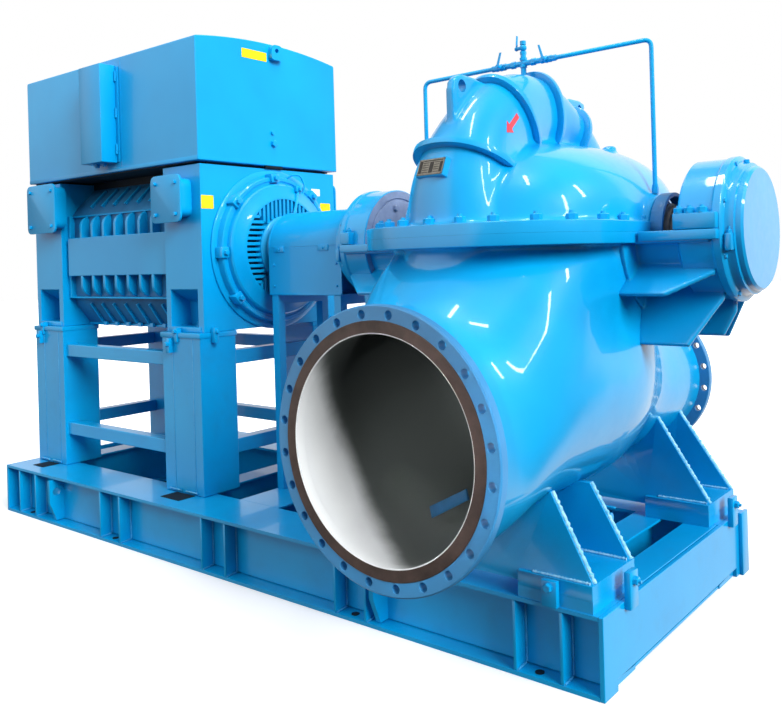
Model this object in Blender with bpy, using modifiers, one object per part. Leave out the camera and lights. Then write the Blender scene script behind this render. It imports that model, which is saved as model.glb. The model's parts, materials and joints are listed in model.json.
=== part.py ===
"""Split case centrifugal pump set: a double suction pump with a flanged suction and discharge, driven
through a guarded coupling by a large box-cooled electric motor on a raised steel stand, all of it on one
welded base frame. Metres, +Z up, +X from the motor to the pump's free end, the suction faces -Y.
The origin is under the shaft line, at the middle of the base frame's underside."""
import math

import bmesh
import bpy
from mathutils import Matrix, Vector

# Base frame.
BASE_L = 4.30
BASE_W = 1.54
BASE_H = 0.30
PAD_TOP = 0.345
RAIL_W = 0.30
# Pump: middle plane, shaft height, nozzle height and the two flange faces.
PUMP_X = 1.56
SHAFT_Z = 1.665
NOZZLE_Z = 0.92
SUCTION_Y = -1.27
DISCHARGE_Y = 0.97
SUCTION_BORE = 0.405
DISCHARGE_BORE = 0.30
SPLIT_T = 0.045
SHAFT_R = 0.065
BEARING_R = SHAFT_R + 0.0008
# Reach of the pump's feet along the shaft, from its middle.
FOOT_X = (0.24, 0.55)
# Motor: frame, cooler box and stand.
MOTOR_X0 = -2.14
MOTOR_X1 = -0.34
MOTOR_HALF = 0.47
FOOT_Z = 1.206
FRAME_TOP = 2.12
COOLER = (-2.165, -0.325, 0.55, 2.165, 2.855)
POST = (0.35, 0.25)
# Clearance left between two pieces that touch.
GAP = 0.0003
# Distance under which two vertices are one.
WELD = 0.00005

PAINT = (0.10, 0.42, 0.75)
DARK_PAINT = (0.08, 0.33, 0.60)
STEEL = (0.45, 0.45, 0.46)
BRASS = (0.62, 0.52, 0.28)


def start_clean():
    for obj in list(bpy.data.objects):
        bpy.data.objects.remove(obj, do_unlink=True)
    for mesh in list(bpy.data.meshes):
        bpy.data.meshes.remove(mesh)


start_clean()
PARTS = bpy.data.collections.new("split_case_pump_set")
bpy.context.scene.collection.children.link(PARTS)
TOOLS = bpy.data.collections.new("cutters")
TOOLS.hide_render = True
bpy.context.scene.collection.children.link(TOOLS)


def material(name, rgb, metallic=0.0, roughness=0.4):
    mat = bpy.data.materials.new(name)
    mat.use_nodes = True
    node = mat.node_tree.nodes["Principled BSDF"]
    node.inputs["Base Color"].default_value = (*rgb, 1.0)
    node.inputs["Metallic"].default_value = metallic
    node.inputs["Roughness"].default_value = roughness
    return mat


def face_out(bm):
    """Turn a closed mesh's faces outwards."""
    bmesh.ops.recalc_face_normals(bm, faces=bm.faces)
    if bm.calc_volume(signed=True) < 0:
        bmesh.ops.reverse_faces(bm, faces=bm.faces)


def publish(name, bm, rgb=PAINT, metallic=0.0, smooth=None):
    """Turn a bmesh into a named part with a material of its own."""
    face_out(bm)
    mesh = bpy.data.meshes.new(name)
    bm.to_mesh(mesh)
    bm.free()
    obj = bpy.data.objects.new(name, mesh)
    PARTS.objects.link(obj)
    mesh.materials.append(material(name + "_finish", rgb, metallic))
    if smooth is not None:
        mesh.shade_smooth()
        mesh.set_sharp_from_angle(angle=math.radians(smooth))
    return obj


def tool(name, bm):
    """Turn a bmesh into a hidden operand for a Boolean."""
    face_out(bm)
    mesh = bpy.data.meshes.new(name)
    bm.to_mesh(mesh)
    bm.free()
    obj = bpy.data.objects.new(name, mesh)
    obj.display_type = 'WIRE'
    obj.hide_render = True
    TOOLS.objects.link(obj)
    return obj


def combine(obj, operand, operation='DIFFERENCE', use_self=False):
    mod = obj.modifiers.new(operation.lower() + "_" + operand.name, 'BOOLEAN')
    mod.operation = operation
    mod.solver = 'EXACT'
    mod.use_self = use_self
    mod.object = operand
    return mod


def soften(obj, width, segments=1, angle=35.0):
    mod = obj.modifiers.new("edge", 'BEVEL')
    mod.width = width
    mod.segments = segments
    mod.limit_method = 'ANGLE'
    mod.angle_limit = math.radians(angle)
    return mod


def add_box(bm, x, y, z):
    """Box between two limits on each axis."""
    size = (x[1] - x[0], y[1] - y[0], z[1] - z[0])
    middle = ((x[0] + x[1]) / 2, (y[0] + y[1]) / 2, (z[0] + z[1]) / 2)
    matrix = Matrix.Translation(middle) @ Matrix.Diagonal((*size, 1.0))
    return bmesh.ops.create_cube(bm, size=1.0, matrix=matrix)["verts"]


def boxes(*limits):
    bm = bmesh.new()
    for x, y, z in limits:
        add_box(bm, x, y, z)
    return bm


AXES = {'X': Matrix.Rotation(math.radians(90), 4, 'Y'), 'Y': Matrix.Rotation(math.radians(-90), 4, 'X'),
        'Z': Matrix.Identity(4)}


def add_cylinder(bm, axis, middle, radius, length, segments=32, radius2=None):
    matrix = Matrix.Translation(middle) @ AXES[axis]
    bmesh.ops.create_cone(bm, cap_ends=True, segments=segments, radius1=radius,
                          radius2=radius if radius2 is None else radius2, depth=length, matrix=matrix)


def cylinder(axis, middle, radius, length, segments=32):
    bm = bmesh.new()
    add_cylinder(bm, axis, middle, radius, length, segments)
    return bm


def taken_mesh(obj):
    """Mesh that a curve or a modifier gives, welded and in place, as a bmesh; the object goes."""
    bpy.context.view_layer.update()
    mesh = bpy.data.meshes.new_from_object(obj.evaluated_get(bpy.context.evaluated_depsgraph_get()))
    bm = bmesh.new()
    bm.from_mesh(mesh)
    bmesh.ops.remove_doubles(bm, verts=bm.verts, dist=WELD)
    bm.transform(obj.matrix_world)
    bpy.data.meshes.remove(mesh)
    bpy.data.objects.remove(obj, do_unlink=True)
    return bm


PLANES = {'X': Matrix(((0, 0, 1, 0), (1, 0, 0, 0), (0, 1, 0, 0), (0, 0, 0, 1))),
          'Y': Matrix(((1, 0, 0, 0), (0, 0, -1, 0), (0, 1, 0, 0), (0, 0, 0, 1))),
          'Z': Matrix.Identity(4)}


def prism(points, axis, low, high):
    """Flat outline with a thickness along one axis: points are (Y, Z) for X, (X, Z) for Y and (X, Y) for Z."""
    curve = bpy.data.curves.new("outline", 'CURVE')
    curve.dimensions = '2D'
    curve.fill_mode = 'BOTH'
    curve.extrude = (high - low) / 2
    spline = curve.splines.new('POLY')
    spline.points.add(len(points) - 1)
    for point, (a, b) in zip(spline.points, points):
        point.co = (a, b, 0.0, 1.0)
    spline.use_cyclic_u = True
    holder = bpy.data.objects.new("outline", curve)
    TOOLS.objects.link(holder)
    middle = {'X': ((low + high) / 2, 0, 0), 'Y': (0, (low + high) / 2, 0), 'Z': (0, 0, (low + high) / 2)}[axis]
    holder.matrix_world = Matrix.Translation(middle) @ PLANES[axis]
    return taken_mesh(holder)


def turned(profile, middle, segments=48, axis='X'):
    """Profile of (along, radius) pairs turned about an axis through middle by a Screw modifier.
    A profile that starts and ends on the axis stays open there, any other is closed."""
    ends_on_axis = profile[0][1] == 0.0 and profile[-1][1] == 0.0
    turn = sum(r0 * a1 - r1 * a0 for (a0, r0), (a1, r1) in zip(profile, profile[1:] + profile[:1]))
    down = profile if turn < 0 else profile[::-1]
    count = len(down)
    edges = [(i, (i + 1) % count) for i in range(count - 1 if ends_on_axis else count)]
    mesh = bpy.data.meshes.new("profile")
    mesh.from_pydata([(radius, 0.0, along) for along, radius in down], edges, [])
    holder = bpy.data.objects.new("profile", mesh)
    TOOLS.objects.link(holder)
    screw = holder.modifiers.new("turned", 'SCREW')
    screw.steps = segments
    screw.render_steps = segments
    screw.use_merge_vertices = True
    screw.merge_threshold = WELD
    holder.matrix_world = Matrix.Translation(middle) @ AXES[axis]
    return taken_mesh(holder)


def add_mesh(bm, other):
    """Move another bmesh into bm."""
    mesh = bpy.data.meshes.new("moved")
    other.to_mesh(mesh)
    other.free()
    bm.from_mesh(mesh)
    bpy.data.meshes.remove(mesh)


def loft(rings):
    """Skin through rings of equal length, closed by a cap at each end."""
    bm = bmesh.new()
    rows = [[bm.verts.new(p) for p in ring] for ring in rings]
    count = len(rows[0])
    for a, b in zip(rows, rows[1:]):
        for i in range(count):
            j = (i + 1) % count
            bm.faces.new((a[i], a[j], b[j], b[i]))
    bm.faces.new(rows[0])
    bm.faces.new(rows[-1][::-1])
    return bm


def rounded(angle, exponent):
    """Point of a unit rounded square at an angle."""
    c, s = math.cos(angle), math.sin(angle)
    power = 2.0 / exponent
    return math.copysign(abs(c) ** power, c), math.copysign(abs(s) ** power, s)


def beam_section(middle, wide, web, tip, root):
    """Outline of an I section of the base's height, its flanges thicker at the web than at the tips."""
    w, t = wide / 2, web / 2
    quarter = [(t, root), (w, tip), (w, 0.0)]
    low = [(-a, b) for a, b in quarter] + quarter[::-1]
    high = [(a, BASE_H - b) for a, b in quarter] + [(-a, BASE_H - b) for a, b in quarter[::-1]]
    return [(middle + a, b) for a, b in low + high]


def base_frame():
    """Two wide rails, a plate across each end and beams between them."""
    half, inner, web = BASE_W / 2, BASE_W / 2 - RAIL_W, BASE_W / 2 - RAIL_W / 2
    profile = beam_section(-web, RAIL_W, 0.014, 0.016, 0.024)
    x0, x1 = -BASE_L / 2 + 0.02 + GAP, BASE_L / 2 - 0.02 - GAP
    for name, sign in (("base_rail_front", 1), ("base_rail_rear", -1)):
        rail = publish(name, prism([(sign * y, z) for y, z in profile], 'X', x0, x1))
        pads = bmesh.new()
        out, back, over = half - 0.005, inner + 0.005, inner - 0.06
        step = [(out, BASE_H - 0.01), (back, BASE_H - 0.01), (back, BASE_H + GAP), (over, BASE_H + GAP),
                (over, PAD_TOP), (out, PAD_TOP)]
        for turn in (-1, 1):
            xs = sorted((PUMP_X + turn * FOOT_X[0], PUMP_X + turn * FOOT_X[1]))
            add_mesh(pads, prism([(-sign * y, z) for y, z in step], 'X', *xs))
        combine(rail, tool(name + "_pads", pads), 'UNION')
    notch = [(-half, 0.0), (-half + 0.11, 0.0), (-half + 0.11, 0.044), (half - 0.11, 0.044), (half - 0.11, 0.0),
             (half, 0.0), (half, BASE_H), (-half, BASE_H)]
    publish("base_end_pump", prism(notch, 'X', BASE_L / 2 - 0.02, BASE_L / 2))
    publish("base_end_motor", prism(notch, 'X', -BASE_L / 2, -BASE_L / 2 + 0.02))
    stops = [("a", -1.94, 0.15), ("b", -0.51, 0.15), ("c", 0.0, 0.30), ("d", 0.365, 0.15), ("e", 1.16, 0.20),
             ("f", 1.80, 0.15), ("g", 2.055, 0.14)]
    side = inner - GAP
    for tag, x, wide in stops:
        profile = beam_section(x, wide, 0.012, 0.012, 0.018)
        publish("base_beam_" + tag, prism(profile, 'Y', -side, side))


def motor_stand():
    """Boxed posts in two side frames, tied across at both ends at two levels."""
    long, deep = POST
    bottom, top = BASE_H + GAP, FOOT_Z - GAP
    xa, xb = MOTOR_X0 + 0.02, MOTOR_X1
    for name, sign in (("stand_front", -1), ("stand_rear", 1)):
        y = sorted((sign * 0.56, sign * (0.56 - deep)))
        tie = sorted((sign * 0.54, sign * 0.46))
        obj = publish(name, boxes(((xa, xa + long), y, (bottom, top))))
        rest = boxes(((xb - long, xb), y, (bottom, top)))
        combine(obj, tool(name + "_post", rest), 'UNION')
        bars = boxes(((xa + long - 0.02, xb - long + 0.02), tie, (1.01, 1.09)),
                     ((xa + long - 0.02, xb - long + 0.02), tie, (0.50, 0.58)))
        combine(obj, tool(name + "_bars", bars), 'UNION')
    inner = 0.56 - deep - GAP
    for end, x in (("pump", xb - 0.09), ("motor", xa + 0.01)):
        for level, z in (("high", 1.01), ("low", 0.50)):
            publish(f"stand_tie_{end}_{level}", boxes(((x, x + 0.08), (-inner, inner), (z, z + 0.08))))


def motor():
    """Fabricated frame with ribbed sides, end shields, cooler box, terminal box and side covers."""
    x0, x1, half = MOTOR_X0, MOTOR_X1, MOTOR_HALF
    neck = COOLER[3] - GAP
    frame = publish("motor_frame", boxes(((x0, x1), (-half, half), (FOOT_Z, FRAME_TOP))))
    wide = half + 0.06
    ends = boxes(((x0, x0 + 0.33), (-wide, wide), (FOOT_Z, FRAME_TOP + 0.028)),
                 ((x1 - 0.34, x1), (-wide, wide), (FOOT_Z, FRAME_TOP + 0.028)))
    combine(frame, tool("motor_pilasters", ends), 'UNION')
    low, high = x0 + 0.32, x1 - 0.33
    bands = boxes(((low, high), (-half - 0.035, half + 0.035), (1.54, 1.78)),
                  ((low, high), (-half - 0.045, half + 0.045), (1.35, 1.41)),
                  ((low, high), (-half - 0.045, half + 0.045), (FOOT_Z, 1.235)),
                  ((low, high), (-half - 0.045, half + 0.045), (2.04, FRAME_TOP + 0.01)))
    combine(frame, tool("motor_bands", bands), 'UNION')
    ribs = bmesh.new()
    count = 9
    for i in range(count):
        x = low + 0.01 + (high - low - 0.02) * (i + 0.5) / count
        add_box(ribs, (x - 0.012, x + 0.012), (-half - 0.03, half + 0.03), (1.77, 1.93))
        add_box(ribs, (x - 0.012, x + 0.012), (-half - 0.03, half + 0.03), (1.40, 1.55))
    combine(frame, tool("motor_ribs", ribs), 'UNION')
    top = boxes(((x0 + 0.04, x1 - 0.03), (-0.46, 0.46), (FRAME_TOP - 0.02, neck)))
    combine(frame, tool("motor_neck", top), 'UNION')
    combine(frame, tool("motor_bore", cylinder('X', ((x0 + x1) / 2, 0, SHAFT_Z), 0.30, 3.0, 40)), 'DIFFERENCE')
    c0, c1, cy, cz0, cz1 = COOLER
    rise, steps = 0.045, 12
    arch = [(-cy, cz0), (cy, cz0)]
    arch += [(cy - 2 * cy * i / steps, cz1 + rise * (1 - (1 - 2 * i / steps) ** 2)) for i in range(steps + 1)]
    cooler = publish("cooler_box", prism(arch, 'X', c0, c1))
    soften(cooler, 0.008, 2)
    box = publish("terminal_box", boxes(((-1.33, -1.09), (-0.657, -cy - GAP), (2.22, 2.80))))
    soften(box, 0.006)
    for tag, a, b, z in (("left", -2.10, -1.75, (1.82, 2.14)), ("right", -0.70, -0.37, (1.81, 2.10))):
        for side, sign in (("front", -1), ("rear", 1)):
            y = sorted((sign * (wide + GAP), sign * (wide + 0.09)))
            cover = publish(f"cover_{tag}_{side}", boxes(((a, b), y, z)))
            soften(cover, 0.025, 3)
    drive = [(x1 + GAP, 0.0609), (x1 + GAP, 0.455), (x1 + 0.045, 0.455), (x1 + 0.052, 0.448), (x1 + 0.052, 0.405),
             (x1 + 0.085, 0.395), (x1 + 0.085, 0.370), (x1 + 0.07, 0.355), (x1 + 0.07, 0.34), (x1 + 0.10, 0.30),
             (x1 + 0.10, 0.275), (x1 + 0.125, 0.265), (x1 + 0.145, 0.16), (x1 + 0.155, 0.15), (x1 + 0.155, 0.0609)]
    publish("drive_shield", turned(drive, (0, 0, SHAFT_Z), 40), smooth=30)
    back = [(x0 - GAP, 0.02), (x0 - 0.16, 0.02), (x0 - 0.16, 0.16), (x0 - 0.13, 0.27), (x0 - 0.08, 0.33),
            (x0 - 0.05, 0.40), (x0 - 0.05, 0.45), (x0 - GAP, 0.455)]
    publish("rear_shield", turned(back, (0, 0, SHAFT_Z), 40), smooth=30)


def guard():
    """Sheet guard over the coupling: an arched upper half, a boxed lower half and two leg frames."""
    x0, x1, r, t = -0.165, 0.40, 0.20, 0.006
    steps = 20
    arc = [(math.cos(math.pi * i / steps), math.sin(math.pi * i / steps)) for i in range(steps + 1)]
    outer = [(r * a, SHAFT_Z + 0.006 + r * b) for a, b in arc]
    inner = [((r - t) * a, SHAFT_Z + 0.006 + (r - t) * b) for a, b in arc]
    publish("guard_upper", prism(outer + inner[::-1], 'X', x0, x1), smooth=30)
    z0, z1 = 1.40, SHAFT_Z + 0.006 - GAP
    trough = [(-r, z1), (-r, z0), (r, z0), (r, z1), (r - t, z1), (r - t, z0 + t), (-r + t, z0 + t), (-r + t, z1)]
    publish("guard_lower", prism(trough, 'X', x0, x1))
    for tag, x in (("motor", x0 + 0.02), ("pump", x1 - 0.06)):
        gate = [(-r, BASE_H + GAP), (-r + 0.05, BASE_H + GAP), (-r + 0.05, z0 - 0.05), (r - 0.05, z0 - 0.05),
                (r - 0.05, BASE_H + GAP), (r, BASE_H + GAP), (r, z0 - GAP), (-r, z0 - GAP)]
        publish("guard_legs_" + tag, prism(gate, 'X', x, x + 0.05))


def case_outline(grow=0.0):
    """Outline of the joint flange, seen from above."""
    right = [(0.0, -0.955), (0.20, -0.95), (0.36, -0.88), (0.49, -0.75), (0.55, -0.60), (0.55, 0.48), (0.49, 0.62),
             (0.36, 0.71), (0.20, 0.755), (0.0, 0.76)]
    left = [(-x, y) for x, y in right[-2:0:-1]]
    return [(PUMP_X + x + math.copysign(grow, x), y + math.copysign(grow, y)) for x, y in right + left]


SPIRAL = [(-12, 0.525, 0.085), (10, 0.54, 0.09), (30, 0.57, 0.10), (50, 0.608, 0.105), (70, 0.652, 0.115),
          (90, 0.710, 0.13), (110, 0.77, 0.145), (130, 0.825, 0.165), (150, 0.86, 0.185), (165, 0.875, 0.195),
          (180, 0.885, 0.20), (195, 0.90, 0.205), (210, 0.92, 0.21), (225, 0.935, 0.215), (240, 0.95, 0.225),
          (255, 0.965, 0.235), (268, 0.98, 0.25)]


def volute(shrink, inner, count=20):
    """Spiral passage from behind the shaft, over it and down the front, then straight to the discharge."""
    rings = []
    for degrees, outer, wide in SPIRAL:
        a = math.radians(degrees)
        low, high = inner, outer - shrink
        centre, half = (low + high) / 2, (high - low) / 2
        ring = []
        for i in range(count):
            u, v = rounded(2 * math.pi * i / count, 2.8)
            radius = centre + half * v
            ring.append((PUMP_X + (wide - shrink) * u, radius * math.cos(a), SHAFT_Z + radius * math.sin(a)))
        rings.append(ring)
    for y, centre, half, wide in ((0.25, 0.96, 0.31, 0.27), (0.50, 0.93, 0.315, 0.305), (0.75, NOZZLE_Z, 0.325, 0.325),
                                  (DISCHARGE_Y - 0.04, NOZZLE_Z, 0.335, 0.335)):
        ring = []
        for i in range(count):
            u, v = rounded(2 * math.pi * i / count, 2.2)
            ring.append((PUMP_X + (wide - shrink) * u, y, centre - (half - shrink) * v))
        rings.append(ring)
    return loft(rings)


# Lower body: station, half width, half width of its top, middle height, rise, drop and the two powers of its
# rounding.
BODY = [(-1.2245, 0.455, 0.455, 0.92, 0.455, 0.455, 2.0, 2.0), (-1.15, 0.455, 0.455, 0.92, 0.458, 0.453, 2.0, 2.0),
        (-1.04, 0.463, 0.463, 0.93, 0.495, 0.450, 2.1, 2.0), (-0.93, 0.485, 0.482, 0.97, 0.550, 0.465, 2.3, 2.0),
        (-0.82, 0.505, 0.496, 1.02, 0.595, 0.480, 2.7, 2.0), (-0.70, 0.520, 0.502, 1.06, 0.615, 0.500, 3.4, 2.0),
        (-0.52, 0.535, 0.502, 1.09, 0.610, 0.525, 5.0, 2.0), (-0.25, 0.545, 0.500, 1.10, 0.620, 0.540, 7.0, 2.0),
        (-0.08, 0.518, 0.495, 1.10, 0.620, 0.540, 7.0, 2.0), (0.05, 0.467, 0.460, 1.09, 0.610, 0.525, 6.0, 2.0),
        (0.18, 0.415, 0.410, 1.06, 0.560, 0.480, 4.0, 2.0), (0.31, 0.365, 0.360, 1.00, 0.465, 0.420, 2.6, 2.0),
        (0.45, 0.335, 0.335, 0.93, 0.400, 0.350, 2.1, 2.0), (0.70, 0.335, 0.335, 0.92, 0.340, 0.338, 2.0, 2.0),
        (0.9245, 0.338, 0.338, 0.92, 0.338, 0.338, 2.0, 2.0)]
# Side chambers round the shaft: half width, reach to the front, reach to the rear and rise.
UPPER_CHAMBER = (0.515, 0.80, 0.66, 0.40)
LOWER_CHAMBER = (0.497, 0.76, 0.50, 0.40)
# Radius and half length of the boss that carries the bearing brackets.
BOSS_R = 0.36
BOSS_X = 0.504


def body(stations, shrink, count=36):
    """Bulbous lower body: round at both nozzles, square under the joint flange."""
    rings = []
    for y, wide, top_wide, centre, up, down, top_power, low_power in stations:
        ring = []
        for i in range(count):
            angle = 2 * math.pi * i / count
            upper = math.sin(angle) >= 0
            u, v = rounded(angle, top_power if upper else low_power)
            reach = wide + (top_wide - wide) * min(max(v, 0.0) / 0.4, 1.0)
            ring.append((PUMP_X + (reach - shrink) * u, y, centre + ((up if upper else down) - shrink) * v))
        rings.append(ring)
    return loft(rings)


def grown_body():
    """Stations of the lower body, larger by the clearance left to the pieces fitted on it."""
    more = (0.0, 0.0006, 0.0006, 0.0, 0.0006, 0.0006, 0.0, 0.0)
    return [tuple(a + b for a, b in zip(station, more)) for station in BODY]


NECK_R = 0.165


def pump_bores(obj, tag):
    """Passages shared by both halves of the case."""
    combine(obj, tool(tag + "_passage", volute(0.035, 0.36)), 'DIFFERENCE')
    combine(obj, tool(tag + "_wheel_space", cylinder('X', (PUMP_X, 0, SHAFT_Z), 0.47, 0.20, 40)), 'DIFFERENCE')
    combine(obj, tool(tag + "_eye", cylinder('X', (PUMP_X, 0, SHAFT_Z), 0.255, 0.70, 32)), 'DIFFERENCE')
    combine(obj, tool(tag + "_shaft_hole", cylinder('X', (PUMP_X, 0, SHAFT_Z), 0.085, 1.60, 32)), 'DIFFERENCE')


def side_chamber(limits, sign, start, shrink):
    """Low dome beside the volute, rising or hanging from the joint."""
    wide, front, rear, rise = limits
    rings = []
    for i in range(11):
        t = math.radians(90) * i / 10
        lift = math.sin(t) ** 0.85 * (rise - shrink)
        spread = max(math.cos(t), 0.03) ** 0.75
        ring = []
        for k in range(48):
            u, v = rounded(2 * math.pi * k / 48, 2.5)
            deep = front if v < 0 else rear
            ring.append((PUMP_X + (wide - shrink) * spread * u, (deep - shrink) * spread * v,
                         SHAFT_Z + sign * (start + lift)))
        rings.append(ring)
    return rings


def lower_case():
    case = publish("lower_casing", body(BODY, 0.0), smooth=40)
    combine(case, tool("lower_chamber", loft(side_chamber(LOWER_CHAMBER, -1, -0.02, 0.0))), 'UNION')
    combine(case, tool("bracket_boss", cylinder('X', (PUMP_X, 0, SHAFT_Z), BOSS_R, 2 * BOSS_X, 40)), 'UNION')
    combine(case, tool("lower_joint", prism(case_outline(), 'Z', SHAFT_Z - SPLIT_T, SHAFT_Z + 0.10)), 'UNION')
    chamber_stations = [(-1.30,) + BODY[0][1:]] + BODY[1:10]
    chamber = tool("suction_chamber", body(chamber_stations, 0.040))
    combine(chamber, tool("lower_space", loft(side_chamber(LOWER_CHAMBER, -1, -0.06, 0.035))), 'UNION')
    combine(chamber, tool("passage_wall", volute(0.0, 0.25)), 'DIFFERENCE')
    combine(case, chamber, 'DIFFERENCE')
    pump_bores(case, "lower")
    combine(case, tool("discharge_hole", cylinder('Y', (PUMP_X, 0.80, NOZZLE_Z), DISCHARGE_BORE, 0.5, 48)), 'DIFFERENCE')
    above = boxes(((PUMP_X - 1, PUMP_X + 1), (-1.5, 1.5), (SHAFT_Z - GAP / 2, SHAFT_Z + 1)))
    combine(case, tool("above_joint", above), 'DIFFERENCE')


def lifting_lug(name, outline, thick, hole_y, hole_z, hole_r):
    """Drilled plate on the back of the volute, as a Boolean operand."""
    lug = tool(name, prism(outline, 'X', PUMP_X - thick / 2, PUMP_X + thick / 2))
    hole = cylinder('X', (PUMP_X, hole_y, hole_z), hole_r, 0.2, 20)
    combine(lug, tool(name + "_hole", hole), 'DIFFERENCE')
    return lug


def upper_case():
    case = publish("upper_casing", volute(0.0, 0.25), smooth=40)
    below = boxes(((PUMP_X - 1, PUMP_X + 1), (-1.5, 1.5), (SHAFT_Z - 2, SHAFT_Z + 0.01)))
    combine(case, tool("below_joint", below), 'DIFFERENCE')
    combine(case, tool("upper_joint", prism(case_outline(), 'Z', SHAFT_Z + GAP / 2, SHAFT_Z + SPLIT_T)), 'UNION')
    combine(case, tool("side_domes", loft(side_chamber(UPPER_CHAMBER, 1, 0.012, 0.0))), 'UNION')
    neck = tool("gland_necks", cylinder('X', (PUMP_X, 0, SHAFT_Z), NECK_R, 1.10, 40))
    trim = boxes(((PUMP_X - 1, PUMP_X + 1), (-1, 1), (SHAFT_Z - 1, SHAFT_Z + 0.02)))
    combine(neck, tool("neck_below", trim), 'DIFFERENCE')
    combine(case, neck, 'UNION')
    front = [(-0.79, 2.02), (-0.803, 2.12), (-0.805, 2.26), (-0.785, 2.306), (-0.745, 2.328), (-0.69, 2.332),
             (-0.62, 2.326), (-0.55, 2.31), (-0.47, 2.28), (-0.47, 2.02)]
    combine(case, lifting_lug("lug_front", front, 0.06, -0.694, 2.268, 0.026), 'UNION')
    back = [(0.16, 2.15), (0.17, 2.31), (0.20, 2.34), (0.25, 2.35), (0.30, 2.342), (0.335, 2.31), (0.345, 2.08)]
    combine(case, lifting_lug("lug_back", back, 0.05, 0.255, 2.312, 0.018), 'UNION')
    for rib in case_ribs():
        combine(case, rib, 'UNION')
    chamber = tool("dome_space", loft(side_chamber(UPPER_CHAMBER, 1, -0.05, 0.035)))
    combine(chamber, tool("passage_wall_2", volute(0.0, 0.25)), 'DIFFERENCE')
    combine(case, chamber, 'DIFFERENCE')
    pump_bores(case, "upper")


def case_ribs():
    """Four stiffening ribs laid over the spiral passage, as Boolean operands."""
    ribs = []
    for tag, degrees, outer, wide in (("a", 153.5, 0.864, 0.187), ("b", 130.0, 0.825, 0.165), ("c", 98.0, 0.738, 0.137),
                                      ("d", 64.0, 0.638, 0.112)):
        a = math.radians(degrees)
        rings = []
        for shift in (-0.012, 0.012):
            outside, inside = [], []
            for i in range(17):
                angle = math.radians(-25) + math.radians(230) * i / 16
                for grow, row in ((0.032, outside), (-0.018, inside)):
                    u, v = rounded(angle, 2.8)
                    half = (outer - 0.25) / 2
                    radius = 0.25 + half + (half + grow) * v
                    x = PUMP_X + (wide + grow) * u
                    y = radius * math.cos(a) - shift * math.sin(a)
                    z = SHAFT_Z + radius * math.sin(a) + shift * math.cos(a)
                    row.append((x, y, z))
            rings.append(outside + inside[::-1])
        ribs.append(tool("case_rib_" + tag, loft(rings)))
    return ribs


def flanges():
    """Drilled nozzle flanges with a raised face."""
    for name, face, thick, outer, raised, bore, circle, holes, hole, turn in (
            ("suction_flange", SUCTION_Y, 0.045, 0.5075, 0.4525, SUCTION_BORE, 0.475, 24, 0.0165, 1),
            ("discharge_flange", DISCHARGE_Y, 0.045, 0.39, 0.3425, DISCHARGE_BORE, 0.3625, 20, 0.0155, -1)):
        inner = face + turn * thick
        profile = [(face, bore), (face, raised), (face + turn * 0.004, raised), (face + turn * 0.004, outer - 0.004),
                   (face + turn * 0.008, outer), (inner - turn * 0.003, outer), (inner, outer - 0.003), (inner, bore)]
        obj = publish(name, turned(profile, (PUMP_X, 0, NOZZLE_Z), 60, "Y"), smooth=30)
        drill = bmesh.new()
        for i in range(holes):
            a = math.radians(360 / holes * (i + 0.5))
            middle = (PUMP_X + circle * math.cos(a), face, NOZZLE_Z + circle * math.sin(a))
            add_cylinder(drill, "Y", middle, hole, 0.2, 8)
        combine(obj, tool(name + "_drill", drill), 'DIFFERENCE')


# Pump saddles: a foot's reach across, its top, and each plate's place, half width at its top and top.
FOOT_Y = (0.41, 0.765)
FOOT_TOP = 0.40
SADDLES = {"front": (-1, ((-0.735, 0.382, 0.71), (-0.43, 0.385, 0.676))),
           "rear": (1, ((0.45, 0.27, 0.83), (0.745, 0.214, 0.88)))}


def saddles():
    """Pump saddles: two foot plates on the pads, joined by two plates that are cut to the case."""
    for name, (side, plates) in SADDLES.items():
        ys = sorted((side * FOOT_Y[0], side * FOOT_Y[1]))
        feet = boxes(*[(sorted((PUMP_X + turn * FOOT_X[0], PUMP_X + turn * FOOT_X[1])), ys, (PAD_TOP + GAP, FOOT_TOP))
                       for turn in (-1, 1)])
        saddle = publish("saddle_" + name, feet)
        for k, (y, half, top) in enumerate(plates):
            low, reach = PAD_TOP + 0.012, FOOT_X[1] - 0.005
            outline = [(-reach, low), (reach, low), (reach, FOOT_TOP), (half, top), (-half, top), (-reach, FOOT_TOP)]
            plate = prism([(PUMP_X + a, b) for a, b in outline], 'Y', y - 0.014, y + 0.014)
            combine(saddle, tool(f"saddle_plate_{name}_{k}", plate), 'UNION')
        combine(saddle, tool("saddle_clear_" + name, body(grown_body(), 0.0)), 'DIFFERENCE')


# Bearing brackets, as distances from the pump's middle along the shaft and from the shaft's axis.
BRACKET_END = 0.84
TROUGH = (0.215, 0.25)
ARM_Y = 0.30
ARM_T = 0.05
# Ribs under the trough: angle below the horizontal, reach, where the reach starts to fall, reach at the ring.
RIBS = ((34, 0.445, 0.685, 0.30), (62, 0.515, 0.726, 0.305), (90, 0.43, 0.785, 0.33))
HOUSING_R = 0.285
RING_R = 0.292
# The coupling end's bearing stands this much farther out, close to the guard.
DRIVE_REACH = 0.21


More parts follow.
